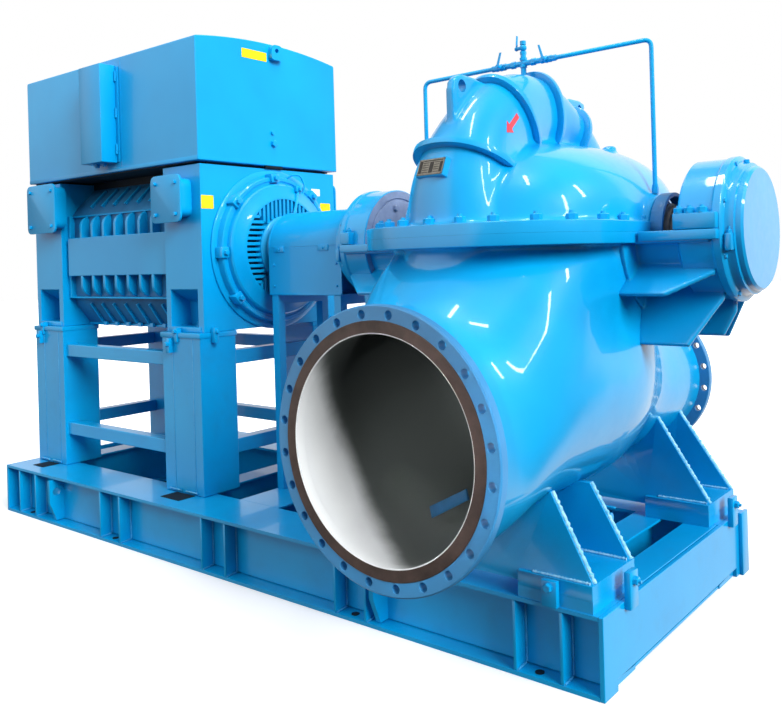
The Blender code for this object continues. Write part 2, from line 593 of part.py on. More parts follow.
def bracket(tag, turn):
    """Bearing bracket and housing at one end; turn is +1 at the free end and -1 at the coupling end."""
    def x(value):
        return PUMP_X + turn * value

    def span(a, b):
        return sorted((x(a), x(b)))

    far = DRIVE_REACH if tag == "drive" else 0.0
    end = BRACKET_END + far - GAP
    start = BOSS_X + GAP
    inner, outer = TROUGH
    trough = [(start, 0.11), (start, BOSS_R), (0.528, BOSS_R), (0.528, outer), (end, outer), (end, inner),
              (0.55, inner), (0.55, 0.11)]
    arm = publish("bracket_" + tag, turned([(x(a), r) for a, r in trough], (0, 0, SHAFT_Z), 40), smooth=30)
    top = SHAFT_Z - GAP / 2
    arms = boxes(*[(span(start + 0.03, end), sorted((side * 0.23, side * ARM_Y)), (SHAFT_Z - ARM_T, top + 0.02))
                   for side in (-1, 1)])
    combine(arm, tool("arms_" + tag, arms), 'UNION')
    fins = bmesh.new()
    for degrees, reach, knee, last in RIBS:
        outline = [(start + 0.004, 0.235), (start + 0.004, reach), (knee + far, reach), (end - 0.001, last), (end - 0.001, 0.235)]
        for side in ((-1, 1) if degrees < 90 else (1,)):
            fin = prism([(x(a), SHAFT_Z - r) for a, r in outline], 'Y', -0.010, 0.010)
            tilt = Matrix.Rotation(math.radians(side * (90 - degrees)), 3, 'X')
            bmesh.ops.rotate(fin, verts=fin.verts, cent=(0, 0, SHAFT_Z), matrix=tilt)
            add_mesh(fins, fin)
    combine(arm, tool("fins_" + tag, fins), 'UNION')
    combine(arm, tool("bracket_body_" + tag, body(grown_body(), 0.0)), 'DIFFERENCE')
    joint = prism(case_outline(GAP), 'Z', SHAFT_Z - SPLIT_T - GAP, SHAFT_Z + 0.10)
    combine(arm, tool("bracket_joint_" + tag, joint), 'DIFFERENCE')
    half_space = (span(0.3, 1.4), (-1, 1), (top, SHAFT_Z + 1))
    combine(arm, tool("bracket_above_" + tag, boxes(half_space)), 'DIFFERENCE')

    seat = [(0.69, BEARING_R), (0.69, inner - GAP), (BRACKET_END, inner - GAP), (BRACKET_END, HOUSING_R),
            (0.845, RING_R), (0.88, RING_R), (0.885, HOUSING_R), (0.885, 0.245), (0.945, 0.24), (0.947, 0.235)]
    if turn > 0:
        seat = [(0.90, 0.0), (0.90, BEARING_R)] + seat + [(0.947, 0.0)]
    else:
        seat = seat + [(0.947, BEARING_R)]
    housing = publish("bearing_housing_" + tag, turned([(x(a + far), r) for a, r in seat], (0, 0, SHAFT_Z), 40), smooth=30)
    cap = [(0.70, 0.15), (0.70, HOUSING_R), (0.8425, HOUSING_R), (0.8425, 0.15)]
    cap = tool("cap_" + tag, turned([(x(a + far), r) for a, r in cap], (0, 0, SHAFT_Z), 40))
    inner_end = 0.78 if tag == "drive" else 0.70
    blocks = boxes(*[(span(inner_end + far, 0.8425 + far), sorted((side * 0.20, side * ARM_Y)),
                      (SHAFT_Z - 0.02, SHAFT_Z + 0.065)) for side in (-1, 1)])
    combine(cap, tool("cap_blocks_" + tag, blocks), 'UNION')
    lower_half = (span(0.3, 1.4), (-1, 1), (SHAFT_Z - 1, SHAFT_Z + GAP / 2))
    combine(cap, tool("cap_below_" + tag, boxes(lower_half)), 'DIFFERENCE')
    combine(housing, cap, 'UNION')
    seal = [(0.55 + GAP, 0.075), (0.55 + GAP, 0.16), (0.605, 0.16), (0.605, 0.11), (0.63, 0.11), (0.63, 0.075)]
    publish("gland_" + tag, turned([(x(a), r) for a, r in seal], (0, 0, SHAFT_Z), 32), DARK_PAINT, smooth=30)


def rotor():
    """Motor shaft end, flexible coupling, pump shaft and impeller: one turning body."""
    shaft = [(0.11, 0.0), (0.11, 0.055), (0.36, 0.055), (0.36, 0.065), (1.30, 0.065), (1.30, 0.07), (1.82, 0.07),
             (1.82, 0.065), (2.43, 0.065), (2.43, 0.0)]
    publish("pump_shaft", turned(shaft, (0, 0, SHAFT_Z), 24), STEEL, 1.0, smooth=30)
    stub = [(-0.62, 0.0), (-0.62, 0.06), (0.08, 0.06), (0.08, 0.0)]
    publish("motor_shaft", turned(stub, (0, 0, SHAFT_Z), 32), STEEL, 1.0, smooth=30)
    hub = [(-0.06, 0.06 + GAP), (-0.06, 0.09), (0.03, 0.09), (0.035, 0.145), (0.09, 0.145), (0.09, 0.06 + GAP)]
    publish("coupling_motor", turned(hub, (0, 0, SHAFT_Z), 32), STEEL, 1.0, smooth=30)
    hub = [(0.24, 0.055 + GAP), (0.24, 0.09), (0.15, 0.09), (0.145, 0.145), (0.09 + GAP, 0.145), (0.09 + GAP, 0.12),
           (0.12, 0.12), (0.12, 0.055 + GAP)]
    publish("coupling_pump", turned(hub, (0, 0, SHAFT_Z), 32), STEEL, 1.0, smooth=30)
    half = [(0.0, 0.41), (0.05, 0.41), (0.06, 0.33), (0.09, 0.24), (0.17, 0.215), (0.17, 0.19), (0.09, 0.15), (0.17, 0.09),
            (0.17, 0.07 + GAP)]
    left = [(-a, r) for a, r in half[::-1]]
    wheel = [(PUMP_X + a, r) for a, r in left[:-1] + half]
    publish("impeller", turned(wheel, (0, 0, SHAFT_Z), 36), (0.35, 0.35, 0.36), 1.0, smooth=30)


def tube(name, points, radius, rgb=PAINT, sides=1, bend=0.03):
    """Round tube through points, with its corners bent to a radius."""
    curve = bpy.data.curves.new(name, 'CURVE')
    curve.dimensions = '3D'
    path = [Vector(points[0])]
    for before, here, after in zip(points, points[1:], points[2:]):
        before, here, after = Vector(before), Vector(here), Vector(after)
        back, ahead = (before - here).normalized(), (after - here).normalized()
        first, last = here + back * bend, here + ahead * bend
        for i in range(4):
            t = i / 3
            path.append(first.lerp(here, t).lerp(here.lerp(last, t), t))
    path.append(Vector(points[-1]))
    spline = curve.splines.new('POLY')
    spline.points.add(len(path) - 1)
    for point, place in zip(spline.points, path):
        point.co = (*place, 1.0)
    curve.bevel_depth = radius
    curve.bevel_resolution = sides
    curve.use_fill_caps = True
    holder = bpy.data.objects.new(name + "_curve", curve)
    TOOLS.objects.link(holder)
    return publish(name, taken_mesh(holder), rgb, smooth=50)


CROSS = Vector((PUMP_X - 0.005, -0.205, 2.440))
FLUSH_R = 0.010
LEVER_Y = 0.034
# From the cross's middle along the shaft to a branch valve's middle, and up to the vent valve's.
BRANCH_VALVE = 0.035 + 0.055 + 0.026 + 1.5 * GAP
VENT_VALVE = 0.070
LEVER_PLACES = {"flush_lever_free": CROSS + Vector((BRANCH_VALVE, -LEVER_Y, 0.0)),
                "flush_lever_drive": CROSS + Vector((-BRANCH_VALVE, -LEVER_Y, 0.0)),
                "vent_lever": CROSS + Vector((-LEVER_Y, 0.0, VENT_VALVE))}


def valve_lever(name, middle, axis, turn, lean):
    """Flat lever with an eye round its valve's stem, standing up with a slight lean."""
    x, y, z = middle
    long = 0.060
    tip = (lean * 0.018, long)
    root = 0.006
    if axis == 'Y':
        eye = cylinder('Y', (x, y, z), 0.010, 0.004, 16)
        arm = prism([(x - root, z), (x + root, z), (x + tip[0] + root * 0.8, z + tip[1]),
                     (x + tip[0] - root * 0.8, z + tip[1])], 'Y', y - 0.002, y + 0.002)
        hole = cylinder('Y', (x, y, z), 0.0044, 0.03, 12)
    else:
        eye = cylinder('X', (x, y, z), 0.010, 0.004, 16)
        arm = prism([(y - root, z), (y + root, z), (y + tip[0] + root * 0.8, z + tip[1]),
                     (y + tip[0] - root * 0.8, z + tip[1])], 'X', x - 0.002, x + 0.002)
        hole = cylinder('X', (x, y, z), 0.0044, 0.03, 12)
    lever = publish(name, eye, STEEL, 1.0)
    combine(lever, tool(name + "_arm", arm), 'UNION')
    combine(lever, tool(name + "_eye", hole), 'DIFFERENCE')


def flush_line():
    """Sealing water line: a cross fitting on the case top, a valved pipe to each gland, and a valved vent stub."""
    x, y, z = CROSS
    cross = publish("flush_cross", boxes(((x - 0.035, x + 0.035), (y - 0.014, y + 0.014), (z - 0.014, z + 0.014))))
    stem = cylinder('Z', (x, y, z - 0.01), 0.013, 0.10, 16)
    combine(cross, tool("cross_stem", stem), 'UNION')
    combine(cross, tool("cross_case_clear", volute(-0.0004, 0.25)), 'DIFFERENCE')
    vent = publish("vent_valve", cylinder('Z', (x, y, z + 0.0403 + 0.030), 0.015, 0.060, 16), BRASS, 0.6, smooth=40)
    boss = cylinder('X', (x - 0.018, y, z + 0.070), 0.008, 0.024, 12)
    combine(vent, tool("vent_boss", boss), 'UNION')
    combine(vent, tool("vent_pin", cylinder('X', (x - 0.030, y, z + 0.070), 0.004, 0.020, 12)), 'UNION')
    valve_lever("vent_lever", (x - LEVER_Y, y, z + 0.070), 'X', -1, 0.4)
    arm = 0.035
    for tag, turn, gland_y, rise in (("free", 1, -0.02, 0.050), ("drive", -1, -0.205, -0.03)):
        nipple = cylinder('X', (x + turn * (arm / 2 + 0.0275), y, z), 0.009, arm + 0.055, 14)
        combine(cross, tool(f"nipple_{tag}", nipple), 'UNION')
        valve_x = x + turn * BRANCH_VALVE
        valve = publish(f"flush_valve_{tag}", cylinder('X', (valve_x, y, z), 0.017, 0.052, 16), BRASS, 0.6, smooth=40)
        boss = cylinder('Y', (valve_x, y - 0.019, z), 0.008, 0.020, 12)
        combine(valve, tool(f"valve_boss_{tag}", boss), 'UNION')
        combine(valve, tool(f"valve_pin_{tag}", cylinder('Y', (valve_x, y - 0.030, z), 0.004, 0.020, 12)), 'UNION')
        valve_lever(f"flush_lever_{tag}", (valve_x, y - LEVER_Y, z), 'Y', turn, -turn)
        start = valve_x + turn * (0.026 + GAP)
        end = PUMP_X + turn * 0.515
        drop = SHAFT_Z + 0.165 + GAP
        if tag == "drive":
            drop = SHAFT_Z + SPLIT_T + GAP
        tube(f"flush_pipe_{tag}", [(start, y, z), (start + turn * 0.06, y, z), (end, gland_y, z + rise),
                                   (end, gland_y, drop)], FLUSH_R)


def pivot(name, place, members):
    """Empty on a joint's axis that carries the pieces that turn about it."""
    empty = bpy.data.objects.new(name, None)
    empty.location = place
    empty.empty_display_size = 0.1
    PARTS.objects.link(empty)
    bpy.context.view_layer.update()
    for member in members:
        obj = bpy.data.objects[member]
        obj.parent = empty
        obj.matrix_parent_inverse = empty.matrix_world.inverted()


base_frame()
motor_stand()
motor()
guard()
lower_case()
upper_case()
flanges()
saddles()
bracket("free", 1)
bracket("drive", -1)
rotor()
flush_line()
pivot("rotor_axis", (PUMP_X, 0, SHAFT_Z), ("pump_shaft", "motor_shaft", "coupling_motor", "coupling_pump", "impeller"))
for valve, place in LEVER_PLACES.items():
    pivot(valve + "_axis", place, (valve,))
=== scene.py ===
"""Looks of a split case pump set: castings, fabrications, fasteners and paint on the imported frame."""
import json
import math

import bmesh
import bpy
from mathutils import Matrix, Vector
from mathutils.bvhtree import BVHTree


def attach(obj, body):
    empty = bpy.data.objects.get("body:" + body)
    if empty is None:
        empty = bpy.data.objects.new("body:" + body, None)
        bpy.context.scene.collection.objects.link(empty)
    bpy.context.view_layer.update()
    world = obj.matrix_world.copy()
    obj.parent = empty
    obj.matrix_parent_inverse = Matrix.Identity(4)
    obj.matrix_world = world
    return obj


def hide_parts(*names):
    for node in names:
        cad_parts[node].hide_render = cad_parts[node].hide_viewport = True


bl_info = {
    "name": "Split Case Pump Set",
    "version": (1, 0, 0),
    "blender": (4, 5, 0),
    "location": "View3D > Sidebar > Pump Set",
    "description": "Builds the castings, fabrications, fasteners and paint of a motor driven split case pump",
    "category": "Object",
}

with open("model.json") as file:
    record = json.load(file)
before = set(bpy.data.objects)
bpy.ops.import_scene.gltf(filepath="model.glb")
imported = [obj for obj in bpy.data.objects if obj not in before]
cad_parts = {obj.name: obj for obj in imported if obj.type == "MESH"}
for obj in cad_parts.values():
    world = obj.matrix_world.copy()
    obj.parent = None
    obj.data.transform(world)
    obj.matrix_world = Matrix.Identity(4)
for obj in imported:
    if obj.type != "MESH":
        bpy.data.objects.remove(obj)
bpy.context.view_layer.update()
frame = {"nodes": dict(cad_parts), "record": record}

# Places shared with the part's source, in metres.
PUMP_X = 1.56
SHAFT_Z = 1.665
NOZZLE_Z = 0.92
SUCTION_Y = -1.27
DISCHARGE_Y = 0.97
SPLIT_T = 0.045
FLANGE_T = 0.045
BASE_H = 0.30
MOTOR_X0 = -2.14
MOTOR_X1 = -0.34
# Least height that one surface lies proud of another.
SKIN = 0.0006
# How much farther out the coupling end's bearing stands than the free end's.
DRIVE_REACH = 0.21


# Colours and materials.

def colour(code):
    """Linear RGBA of an sRGB hex colour."""
    def linear(value):
        return value / 12.92 if value <= 0.04045 else ((value + 0.055) / 1.055) ** 2.4
    return tuple(linear(int(code[i:i + 2], 16) / 255) for i in (1, 3, 5)) + (1.0,)


def add_node(tree, kind, settings=None, links=None):
    """Add a node, with its settings by attribute or socket and its links by socket."""
    node = tree.nodes.new(kind)
    for key, value in (settings or {}).items():
        if isinstance(key, str) and hasattr(node, key):
            setattr(node, key, value)
        else:
            node.inputs[key].default_value = value
    for key, source in (links or {}).items():
        tree.links.new(source, node.inputs[key])
    return node


def new_material(name):
    """New material, its node tree and its surface shader."""
    mat = bpy.data.materials.new(name)
    mat.use_nodes = True
    return mat, mat.node_tree, mat.node_tree.nodes["Principled BSDF"]


def speckled(name, light, dark, cloud_mm, grain_mm, relief_mm, rough, metallic=0.0, coat=0.0, dirt=None,
             amount=0.35):
    """Finish whose tone wanders over cloud_mm, with a grain of grain_mm that stands relief_mm high."""
    mat, tree, surface = new_material(name)
    place = add_node(tree, "ShaderNodeTexCoord").outputs["Object"]
    cloud = add_node(tree, "ShaderNodeTexNoise", {"Scale": 1000 / cloud_mm, "Detail": 3.0, "Roughness": 0.55},
                     {"Vector": place})
    tone = add_node(tree, "ShaderNodeMix", {"data_type": 'RGBA', 6: colour(light), 7: colour(dark)},
                    {0: add_node(tree, "ShaderNodeMapRange", {"From Min": 0.35, "From Max": 0.68},
                                 {"Value": cloud.outputs["Fac"]}).outputs[0]})
    grain = add_node(tree, "ShaderNodeTexNoise", {"Scale": 1000 / grain_mm, "Detail": 4.0, "Roughness": 0.5},
                     {"Vector": place})
    result = tone.outputs[2]
    if dirt:
        # Grime in soft patches a hand across.
        patch = add_node(tree, "ShaderNodeTexNoise", {"Scale": 7.0, "Detail": 6.0, "Roughness": 0.7},
                         {"Vector": place})
        mask = add_node(tree, "ShaderNodeMapRange", {"From Min": 0.50, "From Max": 0.78, "To Max": amount},
                        {"Value": patch.outputs["Fac"]})
        result = add_node(tree, "ShaderNodeMix", {"data_type": 'RGBA', 7: colour(dirt)},
                          {0: mask.outputs[0], 6: result}).outputs[2]
    tree.links.new(result, surface.inputs["Base Color"])
    shine = add_node(tree, "ShaderNodeMapRange", {"To Min": max(rough - 0.06, 0.02), "To Max": rough + 0.09},
                     {"Value": grain.outputs["Fac"]})
    tree.links.new(shine.outputs[0], surface.inputs["Roughness"])
    bump = add_node(tree, "ShaderNodeBump", {"Strength": 1.0, "Distance": relief_mm / 1000},
                    {"Height": grain.outputs["Fac"]})
    tree.links.new(bump.outputs[0], surface.inputs["Normal"])
    surface.inputs["Metallic"].default_value = metallic
    surface.inputs["Coat Weight"].default_value = coat
    surface.inputs["Coat Roughness"].default_value = 0.04
    return mat


def turned_steel(name, light, dark, groove_mm, rough, axis, metallic=1.0):
    """Turned or faced metal: fine rings about a Y axis through a place, with a thin haze of oil."""
    mat, tree, surface = new_material(name)
    place = add_node(tree, "ShaderNodeTexCoord").outputs["Object"]
    centre = add_node(tree, "ShaderNodeMapping", {"Location": axis}, {"Vector": place})
    rings = add_node(tree, "ShaderNodeTexWave",
                     {"wave_type": 'RINGS', "rings_direction": 'Y', "Scale": 160 / groove_mm,
                      "Distortion": 1.5, "Detail": 2.0}, {"Vector": centre.outputs[0]})
    haze = add_node(tree, "ShaderNodeTexNoise", {"Scale": 9.0, "Detail": 5.0, "Roughness": 0.65},
                    {"Vector": place})
    tone = add_node(tree, "ShaderNodeMix", {"data_type": 'RGBA', 6: colour(light), 7: colour(dark)},
                    {0: add_node(tree, "ShaderNodeMapRange", {"From Min": 0.3, "From Max": 0.72},
                                 {"Value": haze.outputs["Fac"]}).outputs[0]})
    tree.links.new(tone.outputs[2], surface.inputs["Base Color"])
    tree.links.new(add_node(tree, "ShaderNodeMapRange", {"To Min": rough - 0.05, "To Max": rough + 0.12},
                            {"Value": haze.outputs["Fac"]}).outputs[0], surface.inputs["Roughness"])
    tree.links.new(add_node(tree, "ShaderNodeBump", {"Strength": 0.6, "Distance": 0.0002},
                            {"Height": rings.outputs["Fac"]}).outputs[0], surface.inputs["Normal"])
    surface.inputs["Metallic"].default_value = metallic
    return mat


def lined(name, light, dark, bare_and_shade_grey):
    """Rolled epoxy that gives way to dark grey past a slanting line deep in the suction chamber: unlined
    casting and painted shade.
    """
    mat, tree, surface = new_material(name)
    place = add_node(tree, "ShaderNodeTexCoord").outputs["Object"]
    nap = add_node(tree, "ShaderNodeTexNoise", {"Scale": 1000 / 7, "Detail": 3.0}, {"Vector": place})
    streak = add_node(tree, "ShaderNodeTexNoise", {"Scale": 3.5, "Detail": 5.0, "Roughness": 0.6},
                      {"Vector": place})
    coat = add_node(tree, "ShaderNodeMix", {"data_type": 'RGBA', 6: colour(light), 7: colour(dark)},
                    {0: streak.outputs["Fac"]})
    # Depth behind the line, which runs from the chamber's upper front to its lower back.
    along = add_node(tree, "ShaderNodeVectorMath", {"operation": 'DOT_PRODUCT', 1: (0.78, 1.0, 0.43)},
                     {0: place})
    wander = add_node(tree, "ShaderNodeMath", {"operation": 'MULTIPLY_ADD', 1: 0.08, 2: -0.04},
                      {0: streak.outputs["Fac"]})
    depth = add_node(tree, "ShaderNodeMath", {"operation": 'ADD'},
                     {0: along.outputs["Value"], 1: wander.outputs[0]})
    # Past the line the colour turns dark grey: unlined casting and painted shade of the chamber's far walls.
    mask = add_node(tree, "ShaderNodeMapRange",
                    {"interpolation_type": 'SMOOTHSTEP', "From Min": 0.20, "From Max": 0.32},
                    {"Value": depth.outputs[0]})
    tone = add_node(tree, "ShaderNodeMix", {"data_type": 'RGBA', 7: colour(bare_and_shade_grey)},
                    {0: mask.outputs[0], 6: coat.outputs[2]})
    tree.links.new(tone.outputs[2], surface.inputs["Base Color"])
    tree.links.new(add_node(tree, "ShaderNodeMapRange", {"To Min": 0.36, "To Max": 0.75},
                            {"Value": mask.outputs[0]}).outputs[0], surface.inputs["Roughness"])
    tree.links.new(add_node(tree, "ShaderNodeBump", {"Strength": 1.0, "Distance": 0.00022},
                            {"Height": nap.outputs["Fac"]}).outputs[0], surface.inputs["Normal"])
    return mat


def make_finishes(look):
    """All finishes of the pump set, each named for its paint, metal or coating, or for the painted shade or
    highlight it carries.
    """
    sky, shade = look.enamel, look.enamel_shade
    made = (
        # Two-pack polyurethane enamel, sprayed over sand cast iron: wet gloss over a soft cast skin.
        speckled("cast_enamel", sky, shade, 420, 34, 0.20, 0.34, coat=0.9),
        # Flange front: the same enamel brushed over a machined face, flatter, and greyer as painted shade.
        speckled("flange_enamel_shaded", look.flange, "#3A7CAD", 500, 4, 0.06, 0.36, coat=0.2),
        # The same enamel over rolled plate: flatter, with a faint orange peel 6 mm across.
        speckled("plate_enamel", sky, shade, 600, 6, 0.07, 0.30, coat=0.3, dirt="#2E6E9E", amount=0.18),
        # Motor maker's enamel on sheet: a little duller.
        speckled("sheet_enamel", sky, shade, 700, 5, 0.05, 0.34, coat=0.25),
        # Darker enamel as painted shade on recessed and shadowed parts, with darker patches.
        speckled("painted_shade_enamel", "#2C7FB4", "#1F6596", 300, 4, 0.09, 0.48, coat=0.1, dirt="#23506F",
                 amount=0.4),
        # Enamel over seams and fillet welds, painted a shade lighter as highlight.
        speckled("seam_painted_highlight", "#45AEE4", "#2C98D2", 40, 5, 0.2, 0.28, coat=0.5),
        # Weld metal under enamel: fast cooled ripples with a bumpier skin, painted pale as highlight.
        speckled("weld_painted_highlight", "#A4DCF5", "#4FB3E4", 24, 5, 0.5, 0.25, coat=0.8),
        # Off-white epoxy lining of the wetted bore, rolled on: slight nap and grey handling marks; deep in
        # the chamber it turns dark grey, unlined casting and painted shade.
        lined("epoxy_lining", "#F1F4F5", "#E0E4E6", "#5E6462"),
        # Where the lining turns over the bore's edge it is a touch greyer.
        speckled("epoxy_edge", "#F1F4F5", "#DDE1E2", 60, 6, 0.10, 0.36),
        # Bare cast skin of the wheel, dull and gone grey.
        speckled("raw_casting", "#6C6A62", "#4E4D48", 180, 9, 0.8, 0.75),
        # Raised face, faced in the lathe and coated with brown rust preventive.
        turned_steel("rust_preventive", "#5A4943", "#3A2F2B", 1.6, 0.34, (-PUMP_X, 0.0, -NOZZLE_Z), 0.35),
        # Ground shaft steel.
        turned_steel("shaft_steel", "#B9BABC", "#8C8E91", 1.0, 0.26, (0.0, 0.0, -SHAFT_Z)),
        # Zinc plated steel of small levers and screws: grey with a yellow cast in places.
        speckled("zinc_plate", "#A9ACAE", "#8B8B80", 30, 2, 0.03, 0.34, metallic=1.0),
        # Lavender grey on the inner side of the coupling end's bearing: painted shade and reflection on the
        # enamel.
        speckled("shade_and_reflection_grey", "#93A3C2", "#7D8CAC", 90, 5, 0.25, 0.5),
        # Painted shade: near black for openings in the frame, recesses, the shadow under the cooler and the
        # ground under the base, and a deep blue behind the air inlets.
        speckled("slot_shadow", "#14425F", "#10364F", 120, 6, 0.05, 0.6),
        speckled("painted_shade_black", "#0A141C", "#101B24", 120, 6, 0.05, 0.7),
        # Etched stainless plate, satin brushed.
        speckled("satin_plate", "#9C988E", "#7C776C", 18, 1.5, 0.02, 0.30, metallic=0.9),
        # Etching filled with black.
        speckled("etched_black", "#24211E", "#35302B", 15, 1.5, 0.02, 0.45),
        # Printed vinyl labels.
        speckled("yellow_vinyl", "#FFDF1A", "#F4CB12", 40, 3, 0.02, 0.35, coat=0.4),
        speckled("white_vinyl", "#EDF3F5", "#D9E4E8", 40, 3, 0.02, 0.35, coat=0.4),
        speckled("red_vinyl", "#F03A4A", "#D92B3C", 40, 3, 0.02, 0.35, coat=0.4),
        # Seal cover castings in greyish primer, darkened as painted shade under the hood.
        speckled("seal_primer_and_shade", "#77716B", "#5B5651", 60, 5, 0.2, 0.5),
        # Dark coat on the bar in the suction chamber.
        speckled("teal_paint", "#1F5680", "#18466A", 90, 5, 0.06, 0.6),
    )
    return {mat.name: mat for mat in made}


# Shapes.

# Rotations that bring a shape made about Z round to each axis.
AIM = {'X': Matrix.Rotation(math.radians(90), 4, 'Y'), 'Y': Matrix.Rotation(math.radians(-90), 4, 'X'),
       'Z': Matrix.Identity(4)}


def aimed(direction):
    """Rotation that turns +Z to a direction."""
    return Vector(direction).to_track_quat('Z', 'Y').to_matrix().to_4x4()


def break_edges(bm, edges, width, segments):
    """Round off edges."""
    bmesh.ops.bevel(bm, geom=edges, offset=width, offset_type='OFFSET', affect='EDGES', segments=segments,
                    profile=0.5, material=-1, clamp_overlap=True)


def add_box(bm, x, y, z, bevel=0.0, segments=2):
    """Box between two ends along each axis, its edges broken by a bevel."""
    size = (x[1] - x[0], y[1] - y[0], z[1] - z[0])
    middle = ((x[0] + x[1]) / 2, (y[0] + y[1]) / 2, (z[0] + z[1]) / 2)
    place = Matrix.Translation(middle) @ Matrix.Diagonal((*size, 1.0))
    made = bmesh.ops.create_cube(bm, size=1.0, matrix=place)
    if bevel:
        edges = list({e for v in made["verts"] for e in v.link_edges})
        break_edges(bm, edges, bevel, segments)


def add_rod(bm, start, end, radius, segments=16, radius2=None):
    """Round or many sided rod, tapered where it has a second radius."""
    start, end = Vector(start), Vector(end)
    place = Matrix.Translation((start + end) / 2) @ aimed(end - start)
    bmesh.ops.create_cone(bm, cap_ends=True, segments=segments, radius1=radius,
                          radius2=radius if radius2 is None else radius2, depth=(end - start).length,
                          matrix=place)


# Radius to a nut's corners, as a share of its width across flats.
CORNER = 0.577


def add_bolt(bm, at, direction, across, washer=True, stud=0.0):
    """Hexagon head or nut on a washer; at is where the washer sits."""
    at, along = Vector(at), Vector(direction).normalized()
    step = 0.0
    if washer:
        add_rod(bm, at - along * 0.002, at + along * across * 0.12, across * 0.60, 14)
        step = across * 0.12
    head = across * 0.50
    chamfer, top = step + head * 0.86, step + head
    add_rod(bm, at + along * step, at + along * chamfer, across * CORNER, 6)
    add_rod(bm, at + along * chamfer, at + along * top, across * CORNER, 6, across * 0.47)
    if stud:
        add_rod(bm, at + along * top, at + along * (top + stud), across * 0.27, 10, across * 0.24)


def add_bolt_circle(bm, x, radius, count, first, direction, across, **rest):
    """Bolts on a circle about the shaft line, the first at an angle in degrees."""
    for i in range(count):
        a = math.radians(first + 360 / count * i)
        add_bolt(bm, (x, radius * math.cos(a), SHAFT_Z + radius * math.sin(a)), direction, across, **rest)


def add_plate(bm, outline, axis, low, high, bevel=0.0):
    """Flat outline with a thickness along an axis: (Y, Z) for X, (X, Z) for Y and (X, Y) for Z."""
    def point(a, b):
        return {'X': (low, a, b), 'Y': (a, low, b), 'Z': (a, b, low)}[axis]
    face = bm.faces.new([bm.verts.new(point(a, b)) for a, b in outline])
    made = bmesh.ops.extrude_face_region(bm, geom=[face])
    top = [g for g in made["geom"] if isinstance(g, bmesh.types.BMVert)]
    shift = {'X': (high - low, 0, 0), 'Y': (0, high - low, 0), 'Z': (0, 0, high - low)}[axis]
    bmesh.ops.translate(bm, verts=top, vec=shift)
    faces = list({f for v in top for f in v.link_faces} | {face})
    bmesh.ops.recalc_face_normals(bm, faces=faces)
    if bevel:
        edges = list({e for f in faces for e in f.edges})
        break_edges(bm, edges, bevel, 2)


def add_spin(bm, profile, centre, axis='X', steps=96):
    """Turned shape: (along, radius) pairs spun about an axis through centre, closed where an end is on it."""
    verts = [bm.verts.new((radius, 0.0, along)) for along, radius in profile]
    edges = [bm.edges.new(pair) for pair in zip(verts, verts[1:])]
    if profile[0][1] > 0.0 or profile[-1][1] > 0.0:
        edges.append(bm.edges.new((verts[-1], verts[0])))
    before = set(bm.faces)
    bmesh.ops.spin(bm, geom=verts + edges, cent=(0, 0, 0), axis=(0, 0, 1), angle=2 * math.pi, steps=steps,
                   use_merge=True)
    faces = [f for f in bm.faces if f not in before]
    made = list({v for f in faces for v in f.verts})
    bmesh.ops.remove_doubles(bm, verts=made, dist=0.00005)
    faces = [f for f in bm.faces if f not in before]
    made = list({v for f in faces for v in f.verts})
    bmesh.ops.transform(bm, matrix=Matrix.Translation(centre) @ AIM[axis], verts=made)
    bmesh.ops.recalc_face_normals(bm, faces=faces)


def add_skin(bm, shape, around, along):
    """Closed tube whose surface is shape(turn, way), both from 0 to 1, bent from a grid and capped."""
    before = set(bm.verts)
    bmesh.ops.create_grid(bm, x_segments=around, y_segments=along, size=0.5)
    made = [v for v in bm.verts if v not in before]
    for v in made:
        v.co = Vector(shape(v.co.x + 0.5, v.co.y + 0.5))
    bmesh.ops.remove_doubles(bm, verts=made, dist=0.00005)
    made = [v for v in bm.verts if v not in before]
    rims = list({e for v in made for e in v.link_edges if e.is_boundary})
    if rims:
        bmesh.ops.holes_fill(bm, edges=rims, sides=0)
    faces = list({f for v in made for f in v.link_faces})
    bmesh.ops.recalc_face_normals(bm, faces=faces)


def add_bead(bm, start, end, radius, seed=0):
    """Weld bead: a rod with ripples along it."""
    start, end = Vector(start), Vector(end)
    length = (end - start).length
    steps = max(int(length / (radius * 1.1)), 2)
    place = Matrix.Translation(start) @ aimed(end - start)
    made = bmesh.ops.create_circle(bm, cap_ends=True, segments=7, radius=radius, matrix=place)["verts"]
    face = next(iter(made[0].link_faces))
    along = (end - start).normalized()
    for i in range(steps):
        grown = bmesh.ops.extrude_face_region(bm, geom=[face])
        verts = [g for g in grown["geom"] if isinstance(g, bmesh.types.BMVert)]
        face_new = [g for g in grown["geom"] if isinstance(g, bmesh.types.BMFace)][0]
        centre = start + along * (length * (i + 1) / steps)
        wobble = 1.0 + 0.22 * math.sin(2.4 * i + seed) + (0.16 if i % 2 else -0.16)
        bmesh.ops.translate(bm, verts=verts, vec=along * (length / steps))
        for v in verts:
            off = v.co - centre
            off -= along * off.dot(along)
            v.co = centre + off.normalized() * radius * wobble
        if face.is_valid and i > 0:
            bmesh.ops.delete(bm, geom=[face], context='FACES_ONLY')
        face = face_new


def half_ring(outer, inner, z, steps):
    """Outline of an arch over the shaft, as (Y, Z), its feet at a height z."""
    arc = [(math.cos(math.pi * i / steps), math.sin(math.pi * i / steps)) for i in range(steps + 1)]
    return [(outer * a, z + outer * b) for a, b in arc] + [(inner * a, z + inner * b) for a, b in arc[::-1]]


def superellipse(turn, power):
    """Point of a unit rounded square, turn running from 0 to 1."""
    c, s = math.cos(2 * math.pi * turn), math.sin(2 * math.pi * turn)
    return math.copysign(abs(c) ** (2 / power), c), math.copysign(abs(s) ** (2 / power), s)


